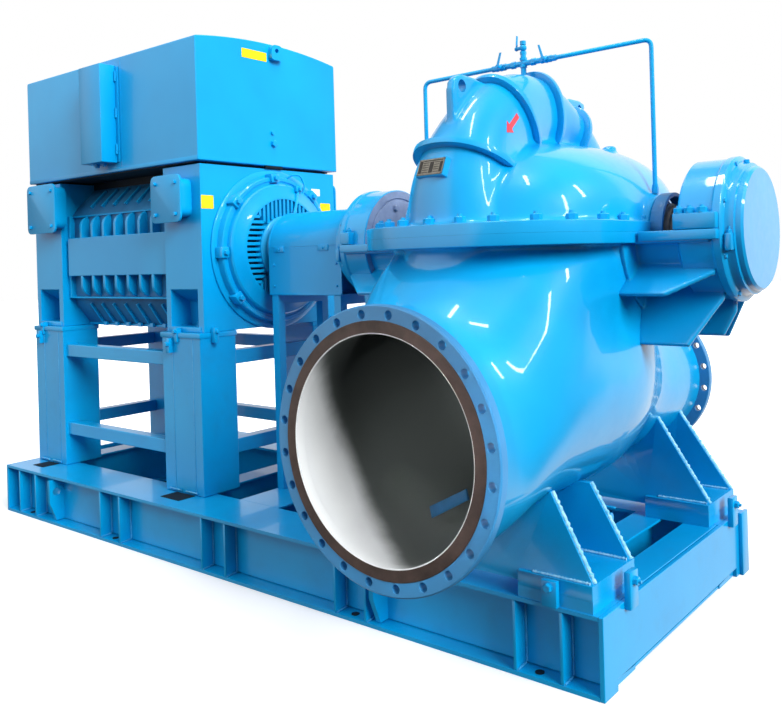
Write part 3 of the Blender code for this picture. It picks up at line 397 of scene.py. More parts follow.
def table_at(table, value):
    """Row of a table at a value of its first column, on smooth curves through its rows."""
    keys = [row[0] for row in table]
    value = min(max(value, keys[0]), keys[-1])
    i = max(k for k in range(len(keys) - 1) if keys[k] <= value) if value > keys[0] else 0
    span = keys[i + 1] - keys[i]
    t = (value - keys[i]) / span
    t2, t3 = t * t, t * t * t
    result = []
    for k in range(1, len(table[0])):
        p1, p2 = table[i][k], table[i + 1][k]
        # Slopes at both rows, from the rows beyond them where there are any.
        m1 = m2 = p2 - p1
        if i > 0:
            m1 = (p2 - table[i - 1][k]) / (keys[i + 1] - keys[i - 1]) * span
        if i + 2 < len(keys):
            m2 = (table[i + 2][k] - p1) / (keys[i + 2] - keys[i]) * span
        rows = (2 * t3 - 3 * t2 + 1) * p1 + (3 * t2 - 2 * t3) * p2
        result.append(rows + (t3 - 2 * t2 + t) * m1 + (t3 - t2) * m2)
    return result


# Finishes by name, filled by the paint operator.
FINISH = {}


def piece(name, bm, finish, smooth=35.0, body="root", replaces=(), bevel=0.0, others=()):
    """Finish a piece: mesh, material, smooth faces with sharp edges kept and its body."""
    mesh = bpy.data.meshes.new(name)
    bm.to_mesh(mesh)
    bm.free()
    for key in (finish, *others):
        mesh.materials.append(FINISH[key])
    if smooth:
        mesh.shade_smooth()
        mesh.set_sharp_from_angle(angle=math.radians(smooth))
    obj = bpy.data.objects.new(name, mesh)
    bpy.context.scene.collection.objects.link(obj)
    if bevel:
        mod = obj.modifiers.new("edges", 'BEVEL')
        mod.width = bevel
        mod.segments = 2
        mod.limit_method = 'ANGLE'
        mod.angle_limit = math.radians(40)
        mod.harden_normals = True
    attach(obj, body)
    if replaces:
        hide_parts(*replaces)
    return obj


def scratch(name, bm):
    """Object that only shapes another one and is removed again."""
    mesh = bpy.data.meshes.new(name)
    bm.to_mesh(mesh)
    bm.free()
    obj = bpy.data.objects.new(name, mesh)
    bpy.context.scene.collection.objects.link(obj)
    return obj


def worked(obj, steps):
    """Bmesh of an object after modifiers given as (kind, settings); the object goes."""
    for kind, settings in steps:
        mod = obj.modifiers.new(kind.lower(), kind)
        for key, value in settings.items():
            setattr(mod, key, value)
    bpy.context.view_layer.update()
    mesh = bpy.data.meshes.new_from_object(obj.evaluated_get(bpy.context.evaluated_depsgraph_get()))
    bm = bmesh.new()
    bm.from_mesh(mesh)
    bpy.data.meshes.remove(mesh)
    bpy.data.objects.remove(obj, do_unlink=True)
    return bm


def cut(bm, *tools):
    """Bmesh less each tool bmesh."""
    holder = scratch("worked", bm)
    operands = [scratch("tool", tool) for tool in tools]
    steps = [('BOOLEAN',
              {"operation": 'DIFFERENCE', "solver": 'MANIFOLD', "object": tool}) for tool in operands]
    result = worked(holder, steps)
    for tool in operands:
        bpy.data.objects.remove(tool, do_unlink=True)
    return result


def voxelled(bm, voxel, rounds, factor=0.5):
    """Overlapping closed shapes made one skin, its inside corners filled out as a casting's are."""
    steps = [('REMESH', {"mode": 'VOXEL', "voxel_size": voxel, "use_smooth_shade": True}),
             ('SMOOTH', {"factor": factor, "iterations": rounds})]
    return worked(scratch("voxelled", bm), steps)


# Pump case.

# Spiral of the case: angle from the rear horizontal in degrees, outer radius, half width, inner radius and
# shift along the shaft.
SPIRAL = [(-12, 0.50, 0.10, 0.34, 0.0), (10, 0.52, 0.105, 0.36, 0.0), (30, 0.55, 0.11, 0.38, 0.0),
          (50, 0.585, 0.112, 0.39, 0.0), (74, 0.622, 0.115, 0.40, 0.0), (101, 0.730, 0.115, 0.41, 0.0),
          (128, 0.826, 0.130, 0.44, 0.0), (142, 0.872, 0.150, 0.46, -0.008),
          (156, 0.905, 0.180, 0.48, -0.016), (165, 0.915, 0.200, 0.48, -0.02),
          (180, 0.905, 0.230, 0.47, -0.02), (195, 0.92, 0.235, 0.47, -0.015), (210, 0.92, 0.235, 0.46, 0.0),
          (225, 0.935, 0.235, 0.44, 0.0), (240, 0.95, 0.24, 0.40, 0.0), (255, 0.965, 0.245, 0.34, 0.0),
          (268, 0.98, 0.25, 0.28, 0.0)]
# Lower body: station along Y, half width, half width of its top, middle height, rise, drop and the two
# powers of its rounding.
BODY = [(-1.2245, 0.455, 0.455, 0.92, 0.455, 0.455, 2.0, 2.0),
        (-1.15, 0.455, 0.455, 0.92, 0.458, 0.453, 2.0, 2.0),
        (-1.04, 0.463, 0.463, 0.93, 0.495, 0.450, 2.1, 2.0),
        (-0.93, 0.485, 0.482, 0.97, 0.550, 0.465, 2.3, 2.0),
        (-0.82, 0.505, 0.496, 1.02, 0.595, 0.480, 2.7, 2.0),
        (-0.70, 0.520, 0.502, 1.06, 0.615, 0.500, 3.4, 2.0),
        (-0.52, 0.535, 0.502, 1.09, 0.610, 0.525, 5.0, 2.0),
        (-0.25, 0.545, 0.500, 1.10, 0.620, 0.540, 7.0, 2.0),
        (-0.08, 0.518, 0.495, 1.10, 0.620, 0.540, 7.0, 2.0),
        (0.05, 0.467, 0.460, 1.09, 0.610, 0.525, 6.0, 2.0),
        (0.18, 0.415, 0.410, 1.06, 0.560, 0.480, 4.0, 2.0),
        (0.31, 0.365, 0.360, 1.00, 0.465, 0.420, 2.6, 2.0),
        (0.45, 0.335, 0.335, 0.93, 0.400, 0.350, 2.1, 2.0),
        (0.70, 0.335, 0.335, 0.92, 0.340, 0.338, 2.0, 2.0),
        (0.9245, 0.338, 0.338, 0.92, 0.338, 0.338, 2.0, 2.0)]
# Chambers over and under the joint: half width, reach to the front and to the rear, and rise or drop.
UPPER_CHAMBER = (0.515, 0.80, 0.66, 0.40)
LOWER_CHAMBER = (0.497, 0.76, 0.50, 0.40)
# Ribs over the spiral: angle and how far each stands out.
CASE_RIBS = ((156.5, 0.036), (128.5, 0.030), (101.5, 0.030), (74.0, 0.030))
# Diffuser: share of its length, place along Y, middle height, half height and half width.
DIFFUSER = [(0.0, 0.02, 0.90, 0.36, 0.26), (0.25, 0.25, 0.93, 0.325, 0.275), (0.5, 0.50, 0.925, 0.32, 0.305),
            (0.75, 0.75, NOZZLE_Z, 0.325, 0.325), (1.0, DISCHARGE_Y - 0.04, NOZZLE_Z, 0.335, 0.335)]
# Radii kept clear about the shaft and about the wheel's rim.
SHAFT_WAY = 0.125
WHEEL_WAY = 0.425


def spiral_shape(low, high, inner=None, grow=0.0):
    """Skin of the spiral between two angles, or of its core where an inner radius is given."""
    def shape(turn, way):
        degrees = low + (high - low) * way
        outer, wide, root, shift = table_at(SPIRAL, degrees)
        if inner is not None:
            root = inner
        a = math.radians(degrees)
        middle, half = (root + outer) / 2, (outer - root) / 2
        u, v = superellipse(turn, 2.2)
        radius = middle + (half + grow) * v
        x = PUMP_X + shift + (wide + grow) * u
        return x, radius * math.cos(a), SHAFT_Z + radius * math.sin(a)
    return shape


def diffuser_shape(turn, way):
    """Skin of the diffuser from the spiral's end to the discharge flange."""
    y, middle, half, wide = table_at(DIFFUSER, way)
    u, v = superellipse(turn, 2.1)
    return PUMP_X + wide * u, y, middle + half * v


def body_shape(shrink, low, high):
    """Skin of the lower body between two places along Y, drawn in by shrink."""
    def shape(turn, way):
        y = low + (high - low) * way
        wide, top_wide, middle, up, down, top_power, low_power = table_at(BODY, y)
        upper = turn < 0.5
        u, v = superellipse(turn, top_power if upper else low_power)
        reach = wide + (top_wide - wide) * min(max(v, 0.0) / 0.4, 1.0)
        return PUMP_X + (reach - shrink) * u, y, middle + ((up if upper else down) - shrink) * v
    return shape


def chamber_shape(limits, sign, start):
    """Skin of a suction chamber's dome, upwards or downwards from near the joint."""
    wide, front, rear, rise = limits

    def shape(turn, way):
        t = math.radians(90) * way
        lift = math.sin(t) ** 0.85 * rise
        spread = max(math.cos(t), 0.02) ** 0.75
        u, v = superellipse(turn, 2.5)
        deep = front if v < 0 else rear
        return PUMP_X + wide * spread * u, deep * spread * v, SHAFT_Z + sign * (start + lift)
    return shape


def joint_outline(grow=0.0):
    """Outline of the joint flange, seen from above."""
    right = [(0.0, -0.955), (0.20, -0.95), (0.36, -0.88), (0.49, -0.75), (0.55, -0.60), (0.55, 0.48),
             (0.49, 0.62), (0.36, 0.71), (0.20, 0.755), (0.0, 0.76)]
    left = [(-x, y) for x, y in right[-2:0:-1]]
    return [(PUMP_X + x + grow * math.copysign(1, x),
             y + grow * math.copysign(1, y)) for x, y in right + left]


def rounded_outline(points, reach, steps=6):
    """Outline with each corner turned into a short curve."""
    out = []
    for before, here, after in zip(points[-1:] + points[:-1], points, points[1:] + points[:1]):
        here = Vector(here)
        back, ahead = Vector(before) - here, Vector(after) - here
        size = min(reach, back.length * 0.45, ahead.length * 0.45)
        first, last = here + back.normalized() * size, here + ahead.normalized() * size
        for i in range(steps + 1):
            t = i / steps
            out.append(tuple(first.lerp(here, t).lerp(here.lerp(last, t), t)))
    return out


def add_rib(bm, degrees, stand):
    """Hoop round the spiral, 30 mm thick."""
    outer, wide, root, shift = table_at(SPIRAL, degrees)
    a = math.radians(degrees)
    middle, half = (root + outer) / 2, (outer - root) / 2

    def shape(turn, way):
        # Around the hoop is way, across its section is turn.
        u, v = superellipse(way, 2.2)
        cu, cv = superellipse(turn, 6)
        grow = (stand + 0.03) / 2 * cu + (stand - 0.03) / 2
        radius = middle + (half + grow) * v
        side = 0.015 * cv
        x = PUMP_X + shift + (wide + grow) * u
        return (x, radius * math.cos(a) - side * math.sin(a),
                SHAFT_Z + radius * math.sin(a) + side * math.cos(a))
    add_skin(bm, shape, 12, 72)


# Lifting lugs on the spiral, as (Y, Z).
LUG_FRONT = [(-0.755, 2.00), (-0.765, 2.12), (-0.768, 2.25), (-0.752, 2.29), (-0.72, 2.311), (-0.67, 2.317),
             (-0.60, 2.312), (-0.53, 2.30), (-0.46, 2.27), (-0.46, 2.02)]
LUG_BACK = [(0.02, 2.15), (0.10, 2.315), (0.17, 2.330), (0.27, 2.332), (0.315, 2.322), (0.325, 2.30),
            (0.30, 2.275), (0.25, 2.24), (0.22, 2.08)]


def along_shaft(reach, radius):
    """Rod about the shaft line, to cut a way with, as far each way from the pump's middle."""
    bm = bmesh.new()
    add_rod(bm, (PUMP_X - reach, 0, SHAFT_Z), (PUMP_X + reach, 0, SHAFT_Z), radius, 64)
    return bm


def upper_case():
    """Upper casting with its spiral, dome, lugs and boss, and the ribs over the spiral."""
    bm = bmesh.new()
    add_skin(bm, spiral_shape(-12, 195), 64, 90)
    add_skin(bm, spiral_shape(-12, 195, inner=0.22, grow=-0.03), 48, 60)
    add_skin(bm, chamber_shape(UPPER_CHAMBER, 1, 0.012), 96, 40)
    add_rod(bm, (PUMP_X - 0.545, 0, SHAFT_Z), (PUMP_X + 0.545, 0, SHAFT_Z), 0.165, 64)
    add_plate(bm, joint_outline(-0.012), 'Z', SHAFT_Z - 0.05, SHAFT_Z + SPLIT_T - 0.004)
    bm = voxelled(bm, 0.011, 16)
    add_plate(bm, LUG_FRONT, 'X', PUMP_X - 0.030, PUMP_X + 0.006)
    add_plate(bm, LUG_BACK, 'X', PUMP_X - 0.025, PUMP_X + 0.025)
    # Flat machined boss on the dome's shoulder.
    add_rod(bm, (PUMP_X + 0.245, 0.12, 1.98), (PUMP_X + 0.245, 0.12, 2.073), 0.030, 32)
    bm = voxelled(bm, 0.0085, 5)
    front_eye, rear_eye, below = bmesh.new(), bmesh.new(), bmesh.new()
    add_rod(front_eye, (PUMP_X - 0.1, -0.703, 2.268), (PUMP_X + 0.1, -0.703, 2.268), 0.026, 32)
    add_rod(rear_eye, (PUMP_X - 0.1, 0.262, 2.295), (PUMP_X + 0.1, 0.262, 2.295), 0.016, 24)
    add_box(below, (PUMP_X - 1, PUMP_X + 1), (-1.5, 1.5), (SHAFT_Z - 1, SHAFT_Z + SPLIT_T - 0.004))
    # The wheel's rim has room under the spiral only; beside it the dome's wall is kept.
    bm = cut(bm, front_eye, rear_eye, below, along_shaft(0.7, SHAFT_WAY), along_shaft(0.068, WHEEL_WAY),
             along_shaft(0.2, 0.35))
    piece("upper_case_casting", bm, "cast_enamel", smooth=50, replaces=("upper_casing",))
    ribs = bmesh.new()
    for degrees, stand in CASE_RIBS:
        add_rib(ribs, degrees, stand)
    ribs = cut(ribs, along_shaft(0.2, WHEEL_WAY + 0.005))
    piece("upper_case_ribs", ribs, "cast_enamel", smooth=40, bevel=0.003)


def in_wet_side(point):
    """Whether a point lies inside the middle of the lower body's wall."""
    if point.y < BODY[0][0] - 0.001 or point.y > BODY[-1][0]:
        return False
    wide, top_wide, middle, up, down, top_power, low_power = table_at(BODY, point.y)
    v = (point.z - middle) / ((up if point.z > middle else down) - 0.02)
    reach = wide + (top_wide - wide) * min(max(v, 0.0) / 0.4, 1.0) - 0.02
    u = (point.x - PUMP_X) / reach
    power = top_power if v > 0 else low_power
    return abs(u) ** power + abs(v) ** power < 1.0


def lower_case():
    """Lower casting with both nozzles, hollowed from the suction side and lined."""
    bm = bmesh.new()
    add_skin(bm, body_shape(0.0, -1.26, 0.96), 96, 120)
    add_skin(bm, chamber_shape(LOWER_CHAMBER, -1, -0.02), 80, 30)
    add_skin(bm, spiral_shape(165, 268), 64, 40)
    add_skin(bm, diffuser_shape, 64, 40)
    add_rod(bm, (PUMP_X - 0.504, 0, SHAFT_Z), (PUMP_X + 0.504, 0, SHAFT_Z), 0.36, 64)
    add_plate(bm, joint_outline(-0.012), 'Z', SHAFT_Z - SPLIT_T + 0.004, SHAFT_Z + 0.05)
    bm = voxelled(bm, 0.011, 14)
    inside = bmesh.new()
    add_skin(inside, body_shape(0.040, -1.30, 0.18), 72, 60)
    wall = bmesh.new()
    add_skin(wall, spiral_shape(150, 268, inner=0.25), 48, 40)
    inside = cut(inside, wall)
    above = bmesh.new()
    add_box(above, (PUMP_X - 1, PUMP_X + 1), (-1.5, 1.5), (SHAFT_Z - SPLIT_T + 0.004, SHAFT_Z + 1))
    ends = [bmesh.new(), bmesh.new()]
    add_box(ends[0], (PUMP_X - 1, PUMP_X + 1), (-1.6, SUCTION_Y + FLANGE_T), (0, 1.5))
    add_box(ends[1], (PUMP_X - 1, PUMP_X + 1), (DISCHARGE_Y - FLANGE_T, 1.6), (0, 1.5))
    outlet = bmesh.new()
    add_rod(outlet, (PUMP_X, 0.45, NOZZLE_Z), (PUMP_X, 1.2, NOZZLE_Z), 0.30, 96)
    bm = cut(bm, inside, above, *ends, outlet, along_shaft(0.7, SHAFT_WAY), along_shaft(0.2, WHEEL_WAY))
    for face in bm.faces:
        if in_wet_side(face.calc_center_median()):
            face.material_index = 1
    piece("lower_case_casting", bm, "cast_enamel", smooth=50, replaces=("lower_casing",),
          others=("epoxy_lining",))


def joint_flanges():
    """Machined joint flanges of both case halves."""
    for name, low, high, slot in (("lower_joint_flange", SHAFT_Z - SPLIT_T, SHAFT_Z - 0.0002, "lower_casing"),
                                  ("upper_joint_flange", SHAFT_Z + 0.0002, SHAFT_Z + SPLIT_T,
                                   "upper_casing")):
        bm = bmesh.new()
        add_plate(bm, rounded_outline(joint_outline(), 0.07), 'Z', low, high)
        # Only the outer rims are broken, so that the joint closes tight.
        rim = [e for e in bm.edges if all(abs(abs(v.co.z - SHAFT_Z) - SPLIT_T) < 0.0001 for v in e.verts)]
        break_edges(bm, rim, 0.004, 3)
        bm = cut(bm, along_shaft(0.7, SHAFT_WAY), along_shaft(0.2, WHEEL_WAY))
        piece(name, bm, "cast_enamel", smooth=30)


# Stud nuts, as distances round the joint from the middle of its front edge.
JOINT_NUTS = (0.072, 0.214, 0.344, 0.502, 0.642, 0.815, 0.994, 1.173, 1.573, 1.71, 1.85, 1.98, 2.12, 2.25,
              2.39, 2.53, 2.67, 2.80, 2.94, 3.08, 3.20, 3.62, 3.77, 3.92, 4.042, 4.17, 4.30, 4.42, 4.533)


def case_fasteners(across):
    """Stud nuts along the joint, each on its washer, with the stud's end above."""
    outline = [Vector(p) for p in rounded_outline(joint_outline(-0.042), 0.05)]
    lengths = [(b - a).length for a, b in zip(outline, outline[1:] + outline[:1])]
    nuts = bmesh.new()
    for want in JOINT_NUTS:
        i = 0
        while i < len(lengths) - 1 and want > lengths[i]:
            want -= lengths[i]
            i += 1
        x, y = outline[i].lerp(outline[(i + 1) % len(outline)], min(want / lengths[i], 1.0))
        add_bolt(nuts, (x, y, SHAFT_Z + SPLIT_T + SKIN), (0, 0, 1), across, stud=0.010)
    piece("joint_stud_nuts", nuts, "plate_enamel", smooth=30)


# Flanges.

def drilled_flange(name, slot, face, inward, outer, raised, bore, circle, holes, hole):
    """Nozzle flange with a drilled rim, and its raised face as a ring of its own finish."""
    back = face + inward * FLANGE_T
    front = face + inward * 0.0042
    centre = (PUMP_X, 0, NOZZLE_Z)
    bm = bmesh.new()
    add_spin(bm, [(front, bore), (front, outer - 0.005), (front + inward * 0.005, outer),
                  (back - inward * 0.003, outer), (back, outer - 0.003), (back, bore)], centre, 'Y', 144)
    drills = bmesh.new()
    for i in range(holes):
        a = 2 * math.pi * (i + 0.5) / holes
        at = Vector((PUMP_X + circle * math.cos(a), face, NOZZLE_Z + circle * math.sin(a)))
        add_rod(drills, at - Vector((0, 0.1, 0)), at + Vector((0, 0.1, 0)), hole, 28)
    bm = cut(bm, drills)
    for part in bm.faces:
        middle = part.calc_center_median() - Vector(centre)
        if math.hypot(middle.x, middle.z) < bore + 0.002:
            part.material_index = 1
    # The flange enamel is greyed as painted shade.
    piece(name, bm, "flange_enamel_shaded", bevel=0.0012, replaces=(slot,), others=("epoxy_lining",))
    under = front - inward * 0.0004
    bm = bmesh.new()
    add_spin(bm, [(face, bore + 0.0045), (face, raised - 0.002), (face + inward * 0.002, raised),
                  (under, raised), (under, bore + 0.0045)], centre, 'Y', 144)
    piece(name + "_raised_face", bm, "rust_preventive", smooth=30)
    bm = bmesh.new()
    add_spin(bm, [(under, bore), (face + inward * 0.003, bore), (face + inward * 0.0008, bore + 0.002),
                  (face + inward * 0.0008, bore + 0.0043), (under, bore + 0.0043)], centre, 'Y', 144)
    piece(name + "_lining_edge", bm, "epoxy_edge", smooth=40)


def nozzle_flanges():
    """Suction flange of 24 holes, discharge flange of 20, and the bar in the suction chamber."""
    drilled_flange("suction_pipe_flange", "suction_flange", SUCTION_Y, 1, 0.5075, 0.4525, 0.405, 0.475, 24,
                   0.0165)
    drilled_flange("discharge_pipe_flange", "discharge_flange", DISCHARGE_Y, -1, 0.39, 0.3425, 0.30, 0.3625,
                   20, 0.0155)
    # Flat bar across the suction chamber, seen through the bore.
    bm = bmesh.new()
    add_plate(bm, [(1.512, 0.584), (1.685, 0.680), (1.675, 0.720), (1.501, 0.628)], 'Y', -0.912, -0.900,
              0.002)
    piece("suction_splitter_bar", bm, "teal_paint")


# CAD nodes with their edges broken or cast over.

def node_body(node):
    """Body that a CAD node moves with."""
    for body, members in frame["record"]["behaviour"]["bodies"].items():
        if node in members:
            return body
    raise ValueError(node)


def node_bmesh(node):
    """The node's own mesh with its loose triangles joined."""
    bm = bmesh.new()
    bm.from_mesh(frame["nodes"][node].data)
    bmesh.ops.remove_doubles(bm, verts=bm.verts, dist=0.00005)
    return bm


def softened(node, finish, width, smooth=30.0, merge=True):
    """The node's own shape with every sharp edge broken, as plate is before it is painted."""
    bm = node_bmesh(node)
    if merge:
        bmesh.ops.dissolve_limit(bm, angle_limit=math.radians(0.5), use_dissolve_boundaries=False,
                                 verts=bm.verts, edges=bm.edges)
    return piece(node + "_plate", bm, finish, smooth=smooth, bevel=width, replaces=(node,),
                 body=node_body(node))


# Bearing brackets and housings.

def bracket(tag, turn):
    """Bearing bracket, drawn up tight against the case and with broad ledges for the joint blocks."""
    ledge_end = 0.871 if tag == "free" else 0.843 + DRIVE_REACH
    bm = voxelled(node_bmesh("bracket_" + tag), 0.006, 3)
    # The end at the case is drawn 12 mm into it.
    for v in bm.verts:
        out = turn * (v.co.x - PUMP_X)
        v.co.x -= turn * 0.012 * min(max((0.66 - out) / 0.08, 0.0), 1.0)
    piece("bracket_%s_cast" % tag, bm, "cast_enamel", smooth=60,
          replaces=("bracket_" + tag,))
    bm = bmesh.new()
    for side in (-1, 1):
        add_box(bm, sorted((PUMP_X + turn * 0.562, PUMP_X + turn * ledge_end)),
                sorted((side * 0.24, side * 0.322)), (SHAFT_Z - 0.040, SHAFT_Z - 0.0005), 0.005)
    piece("bracket_%s_ledges" % tag, bm, "cast_enamel", smooth=40)


def bearing_housing(tag, turn):
    """Split bearing housing: drum, joint blocks, rim, banded end cover and its bolts."""
    far = DRIVE_REACH if tag == "drive" else 0.0

    def x(value):
        return PUMP_X + turn * (value + far)
    centre = (0, 0, SHAFT_Z)
    outside = [(0.838, 0.285), (0.846, 0.2915), (0.872, 0.2915), (0.880, 0.283), (0.884, 0.268),
               (0.898, 0.262), (0.916, 0.262), (0.919, 0.250), (0.938, 0.247), (0.9465, 0.238)]
    if turn > 0:
        profile = [(0.905, 0.0), (0.905, 0.0665), (0.694, 0.0665), (0.694, 0.10), (0.692, 0.15),
                   (0.700, 0.165), (0.702, 0.272), (0.713, 0.284)] + outside + [(0.9468, 0.0)]
    else:
        # A domed inner cover in a flat ring closes the side towards the case.
        profile = [(0.690, 0.0665), (0.690, 0.090), (0.691, 0.150), (0.696, 0.200), (0.7030, 0.233),
                   (0.7080, 0.2355), (0.7080, 0.2415), (0.702, 0.243), (0.702, 0.280),
                   (0.706, 0.285)] + outside
        profile += [(0.9465, 0.12), (0.935, 0.108), (0.935, 0.0665)]
    bm = bmesh.new()
    add_spin(bm, [(x(a), r) for a, r in profile], centre, 'X', 128)
    # The inner cover's face takes the lavender grey: painted shade and reflection.
    for part in bm.faces:
        middle = part.calc_center_median()
        if turn < 0 and middle.x > x(0.709) and math.hypot(middle.y, middle.z - SHAFT_Z) < 0.2805:
            part.material_index = 1
    piece("bearing_drum_" + tag, bm, "cast_enamel", smooth=35,
          replaces=("bearing_housing_" + tag,), others=("shade_and_reflection_grey",))
    bm = bmesh.new()
    inner = 0.78 if turn < 0 else 0.702
    for side in (-1, 1):
        # Joint blocks that stand on the bracket's arms.
        add_box(bm, sorted((x(inner), x(0.841 if far else 0.869))), sorted((side * 0.205, side * 0.320)),
                (SHAFT_Z + 0.0005, SHAFT_Z + 0.063), 0.006)
        # Lugs on the end cover's band, at its split.
        add_box(bm, sorted((x(0.886), x(0.914))), sorted((side * 0.225, side * 0.283)),
                (SHAFT_Z - 0.085, SHAFT_Z - 0.018), 0.007)
    piece("bearing_joint_blocks_" + tag, bm, "cast_enamel", smooth=40)
    bm = bmesh.new()
    for side in (-1, 1):
        for along in (0.722, 0.763, 0.812) if turn > 0 else (0.795, 0.822):
            add_bolt(bm, (x(along), side * 0.299, SHAFT_Z + 0.063 + SKIN), (0, 0, 1),
                     0.034 if turn > 0 else 0.022, stud=0.008)
        add_bolt(bm, (x(0.900), side * 0.262, SHAFT_Z - 0.017), (0, 0, 1), 0.019, stud=0.012)
        add_bolt(bm, (x(0.859), side * 0.270, SHAFT_Z + 0.05), (0, side, 0.6), 0.020)
    add_bolt(bm, (x(0.898), -0.02, SHAFT_Z + 0.263), (0, 0, 1), 0.020)
    # Screws of the end cover.
    add_bolt_circle(bm, x(0.881), 0.276, 8, 22.5, (turn, 0, 0), 0.016, washer=False)
    piece("bearing_bolts_" + tag, bm, "plate_enamel", smooth=30)
    if turn < 0:
        bm = bmesh.new()
        add_bolt_circle(bm, x(0.6965), 0.195, 4, 104, (1, 0, 0), 0.030)
        # Its screws take the same painted shade and reflection.
        piece("bearing_inner_screws", bm, "shade_and_reflection_grey")


def seal_area(tag, turn):
    """Seal cover with its bolts, the thrower ring behind it and a hood over both."""
    def x(value):
        return PUMP_X + turn * value
    centre = (0, 0, SHAFT_Z)
    bm = bmesh.new()
    add_spin(bm, [(x(0.555), 0.075), (x(0.555), 0.122), (x(0.580), 0.122), (x(0.584), 0.112),
                  (x(0.604), 0.110), (x(0.606), 0.095), (x(0.636), 0.088), (x(0.638), 0.075)], centre, 'X',
             64)
    # The cover's primer is darkened as painted shade.
    piece("seal_cover_" + tag, bm, "seal_primer_and_shade", replaces=("gland_" + tag,))
    bm = bmesh.new()
    add_spin(bm, [(x(0.640), 0.0665), (x(0.640), 0.132), (x(0.644), 0.140), (x(0.668), 0.140),
                  (x(0.672), 0.132), (x(0.672), 0.0665)], centre, 'X', 64)
    # Darker enamel on the thrower: painted shade under the hood.
    piece("oil_thrower_" + tag, bm, "painted_shade_enamel")
    bm = bmesh.new()
    add_bolt_circle(bm, x(0.585), 0.100, 4, 45, (turn, 0, 0), 0.018, washer=False, stud=0.03)
    piece("gland_bolts_" + tag, bm, "zinc_plate")
    # Half cylinder hood from the case over the seal, thin walled and open to the housing.
    bm = bmesh.new()
    add_plate(bm, half_ring(0.165, 0.148, SHAFT_Z + 0.002, 24), 'X', *sorted((x(0.5452), x(0.598))), 0.003)
    # Darker enamel on the hood: painted shade.
    piece("seal_hood_" + tag, bm, "painted_shade_enamel")


# Saddles and base frame.

def saddle_details(bead):
    """Weld beads along the saddle plates, holding down bolts and jack screws."""
    beads = bmesh.new()
    for y, half, top in ((-0.735, 0.382, 0.71), (-0.43, 0.385, 0.676), (0.45, 0.27, 0.83),
                         (0.745, 0.214, 0.88)):
        for turn in (-1, 1):
            # Beads down the slanting edge of the plate and along its foot.
            outer = (PUMP_X + turn * 0.545, y, 0.402)
            add_bead(beads, (PUMP_X + turn * half, y, top), outer, bead, turn)
            for side in (-1, 1):
                edge = y + side * 0.0155
                add_bead(beads, (PUMP_X + turn * 0.30, edge, 0.4035), (PUMP_X + turn * 0.535, edge, 0.4035),
                         0.0055, turn + side)
    # The beads are painted pale as highlight.
    piece("saddle_weld_beads", beads, "weld_painted_highlight", smooth=60)
    bolts = bmesh.new()
    for sign in (-1, 1):
        for turn in (-1, 1):
            for across in (0.50, 0.66):
                add_bolt(bolts, (PUMP_X + turn * 0.30, sign * across, 0.4006), (0, 0, 1), 0.046, stud=0.02)
    piece("saddle_bolts", bolts, "plate_enamel")
    jacks = bmesh.new()
    screws = bmesh.new()
    for x in (1.947, 1.173):
        for side in (-1, 1):
            add_box(jacks, (x - 0.0315, x + 0.0315), sorted((side * 0.7665, side * 0.792)), (0.3005, 0.398),
                    0.003)
            add_bolt(screws, (x, side * 0.792, 0.374), (0, side, 0), 0.030)
    for y in (-0.560, 0.585):
        add_box(jacks, (2.1505, 2.176), (y - 0.035, y + 0.035), (0.272, 0.410), 0.003)
        add_bolt(screws, (2.176, y, 0.375), (1, 0, 0), 0.030, stud=0.01)
    piece("saddle_jack_blocks", jacks, "plate_enamel")
    piece("saddle_jack_screws", screws, "plate_enamel")


# Places of the rails' stiffeners and lifting plates along X.
STIFFENERS = (-1.985, -1.785, -1.045, -0.849, -0.106, 0.08, 0.84, 1.02, 1.78, 1.98)
LIFTING_PLATES = (("motor", -1.58), ("pump", 1.077))


def rail_details():
    """Webs, stiffeners with their weld beads, and lifting plates of the side rails."""
    plates = bmesh.new()
    beads = bmesh.new()
    for side, sign in (("front", -1), ("rear", 1)):
        web = sign * 0.695
        add_box(plates, (-2.1295, 2.1295), sorted((sign * 0.628, web)), (0.0245, BASE_H - 0.0245), 0.0)
        for x in STIFFENERS:
            add_box(plates, (x - 0.007, x + 0.007), sorted((web, sign * 0.7685)), (0.0190, BASE_H - 0.0190),
                    0.0015)
            foot, rise = web + sign * 0.004, web + sign * 0.006
            add_bead(beads, (x + 0.010, foot, 0.03), (x + 0.010, foot, 0.27), 0.0045, x)
            add_bead(beads, (x + 0.009, rise, 0.0245), (x + 0.009, sign * 0.765, 0.0195), 0.0045, x)
        for end, x in LIFTING_PLATES:
            outline = ((0.790, 0.272), (0.675, 0.278), (0.675, 0.024), (0.745, 0.022), (0.790, 0.135))
            blade, eye = bmesh.new(), bmesh.new()
            add_plate(blade, [(sign * y, z) for y, z in outline], 'X', x - 0.0125, x + 0.0125)
            add_rod(eye, (x - 0.1, sign * 0.745, 0.20), (x + 0.1, sign * 0.745, 0.20), 0.024, 24)
            piece("lifting_plate_%s_%s" % (side, end), cut(blade, eye), "plate_enamel",
                  bevel=0.002)
    piece("rail_stiffeners", plates, "plate_enamel")
    # The beads are painted a shade lighter as highlight.
    piece("rail_weld_beads", beads, "seam_painted_highlight", smooth=60)


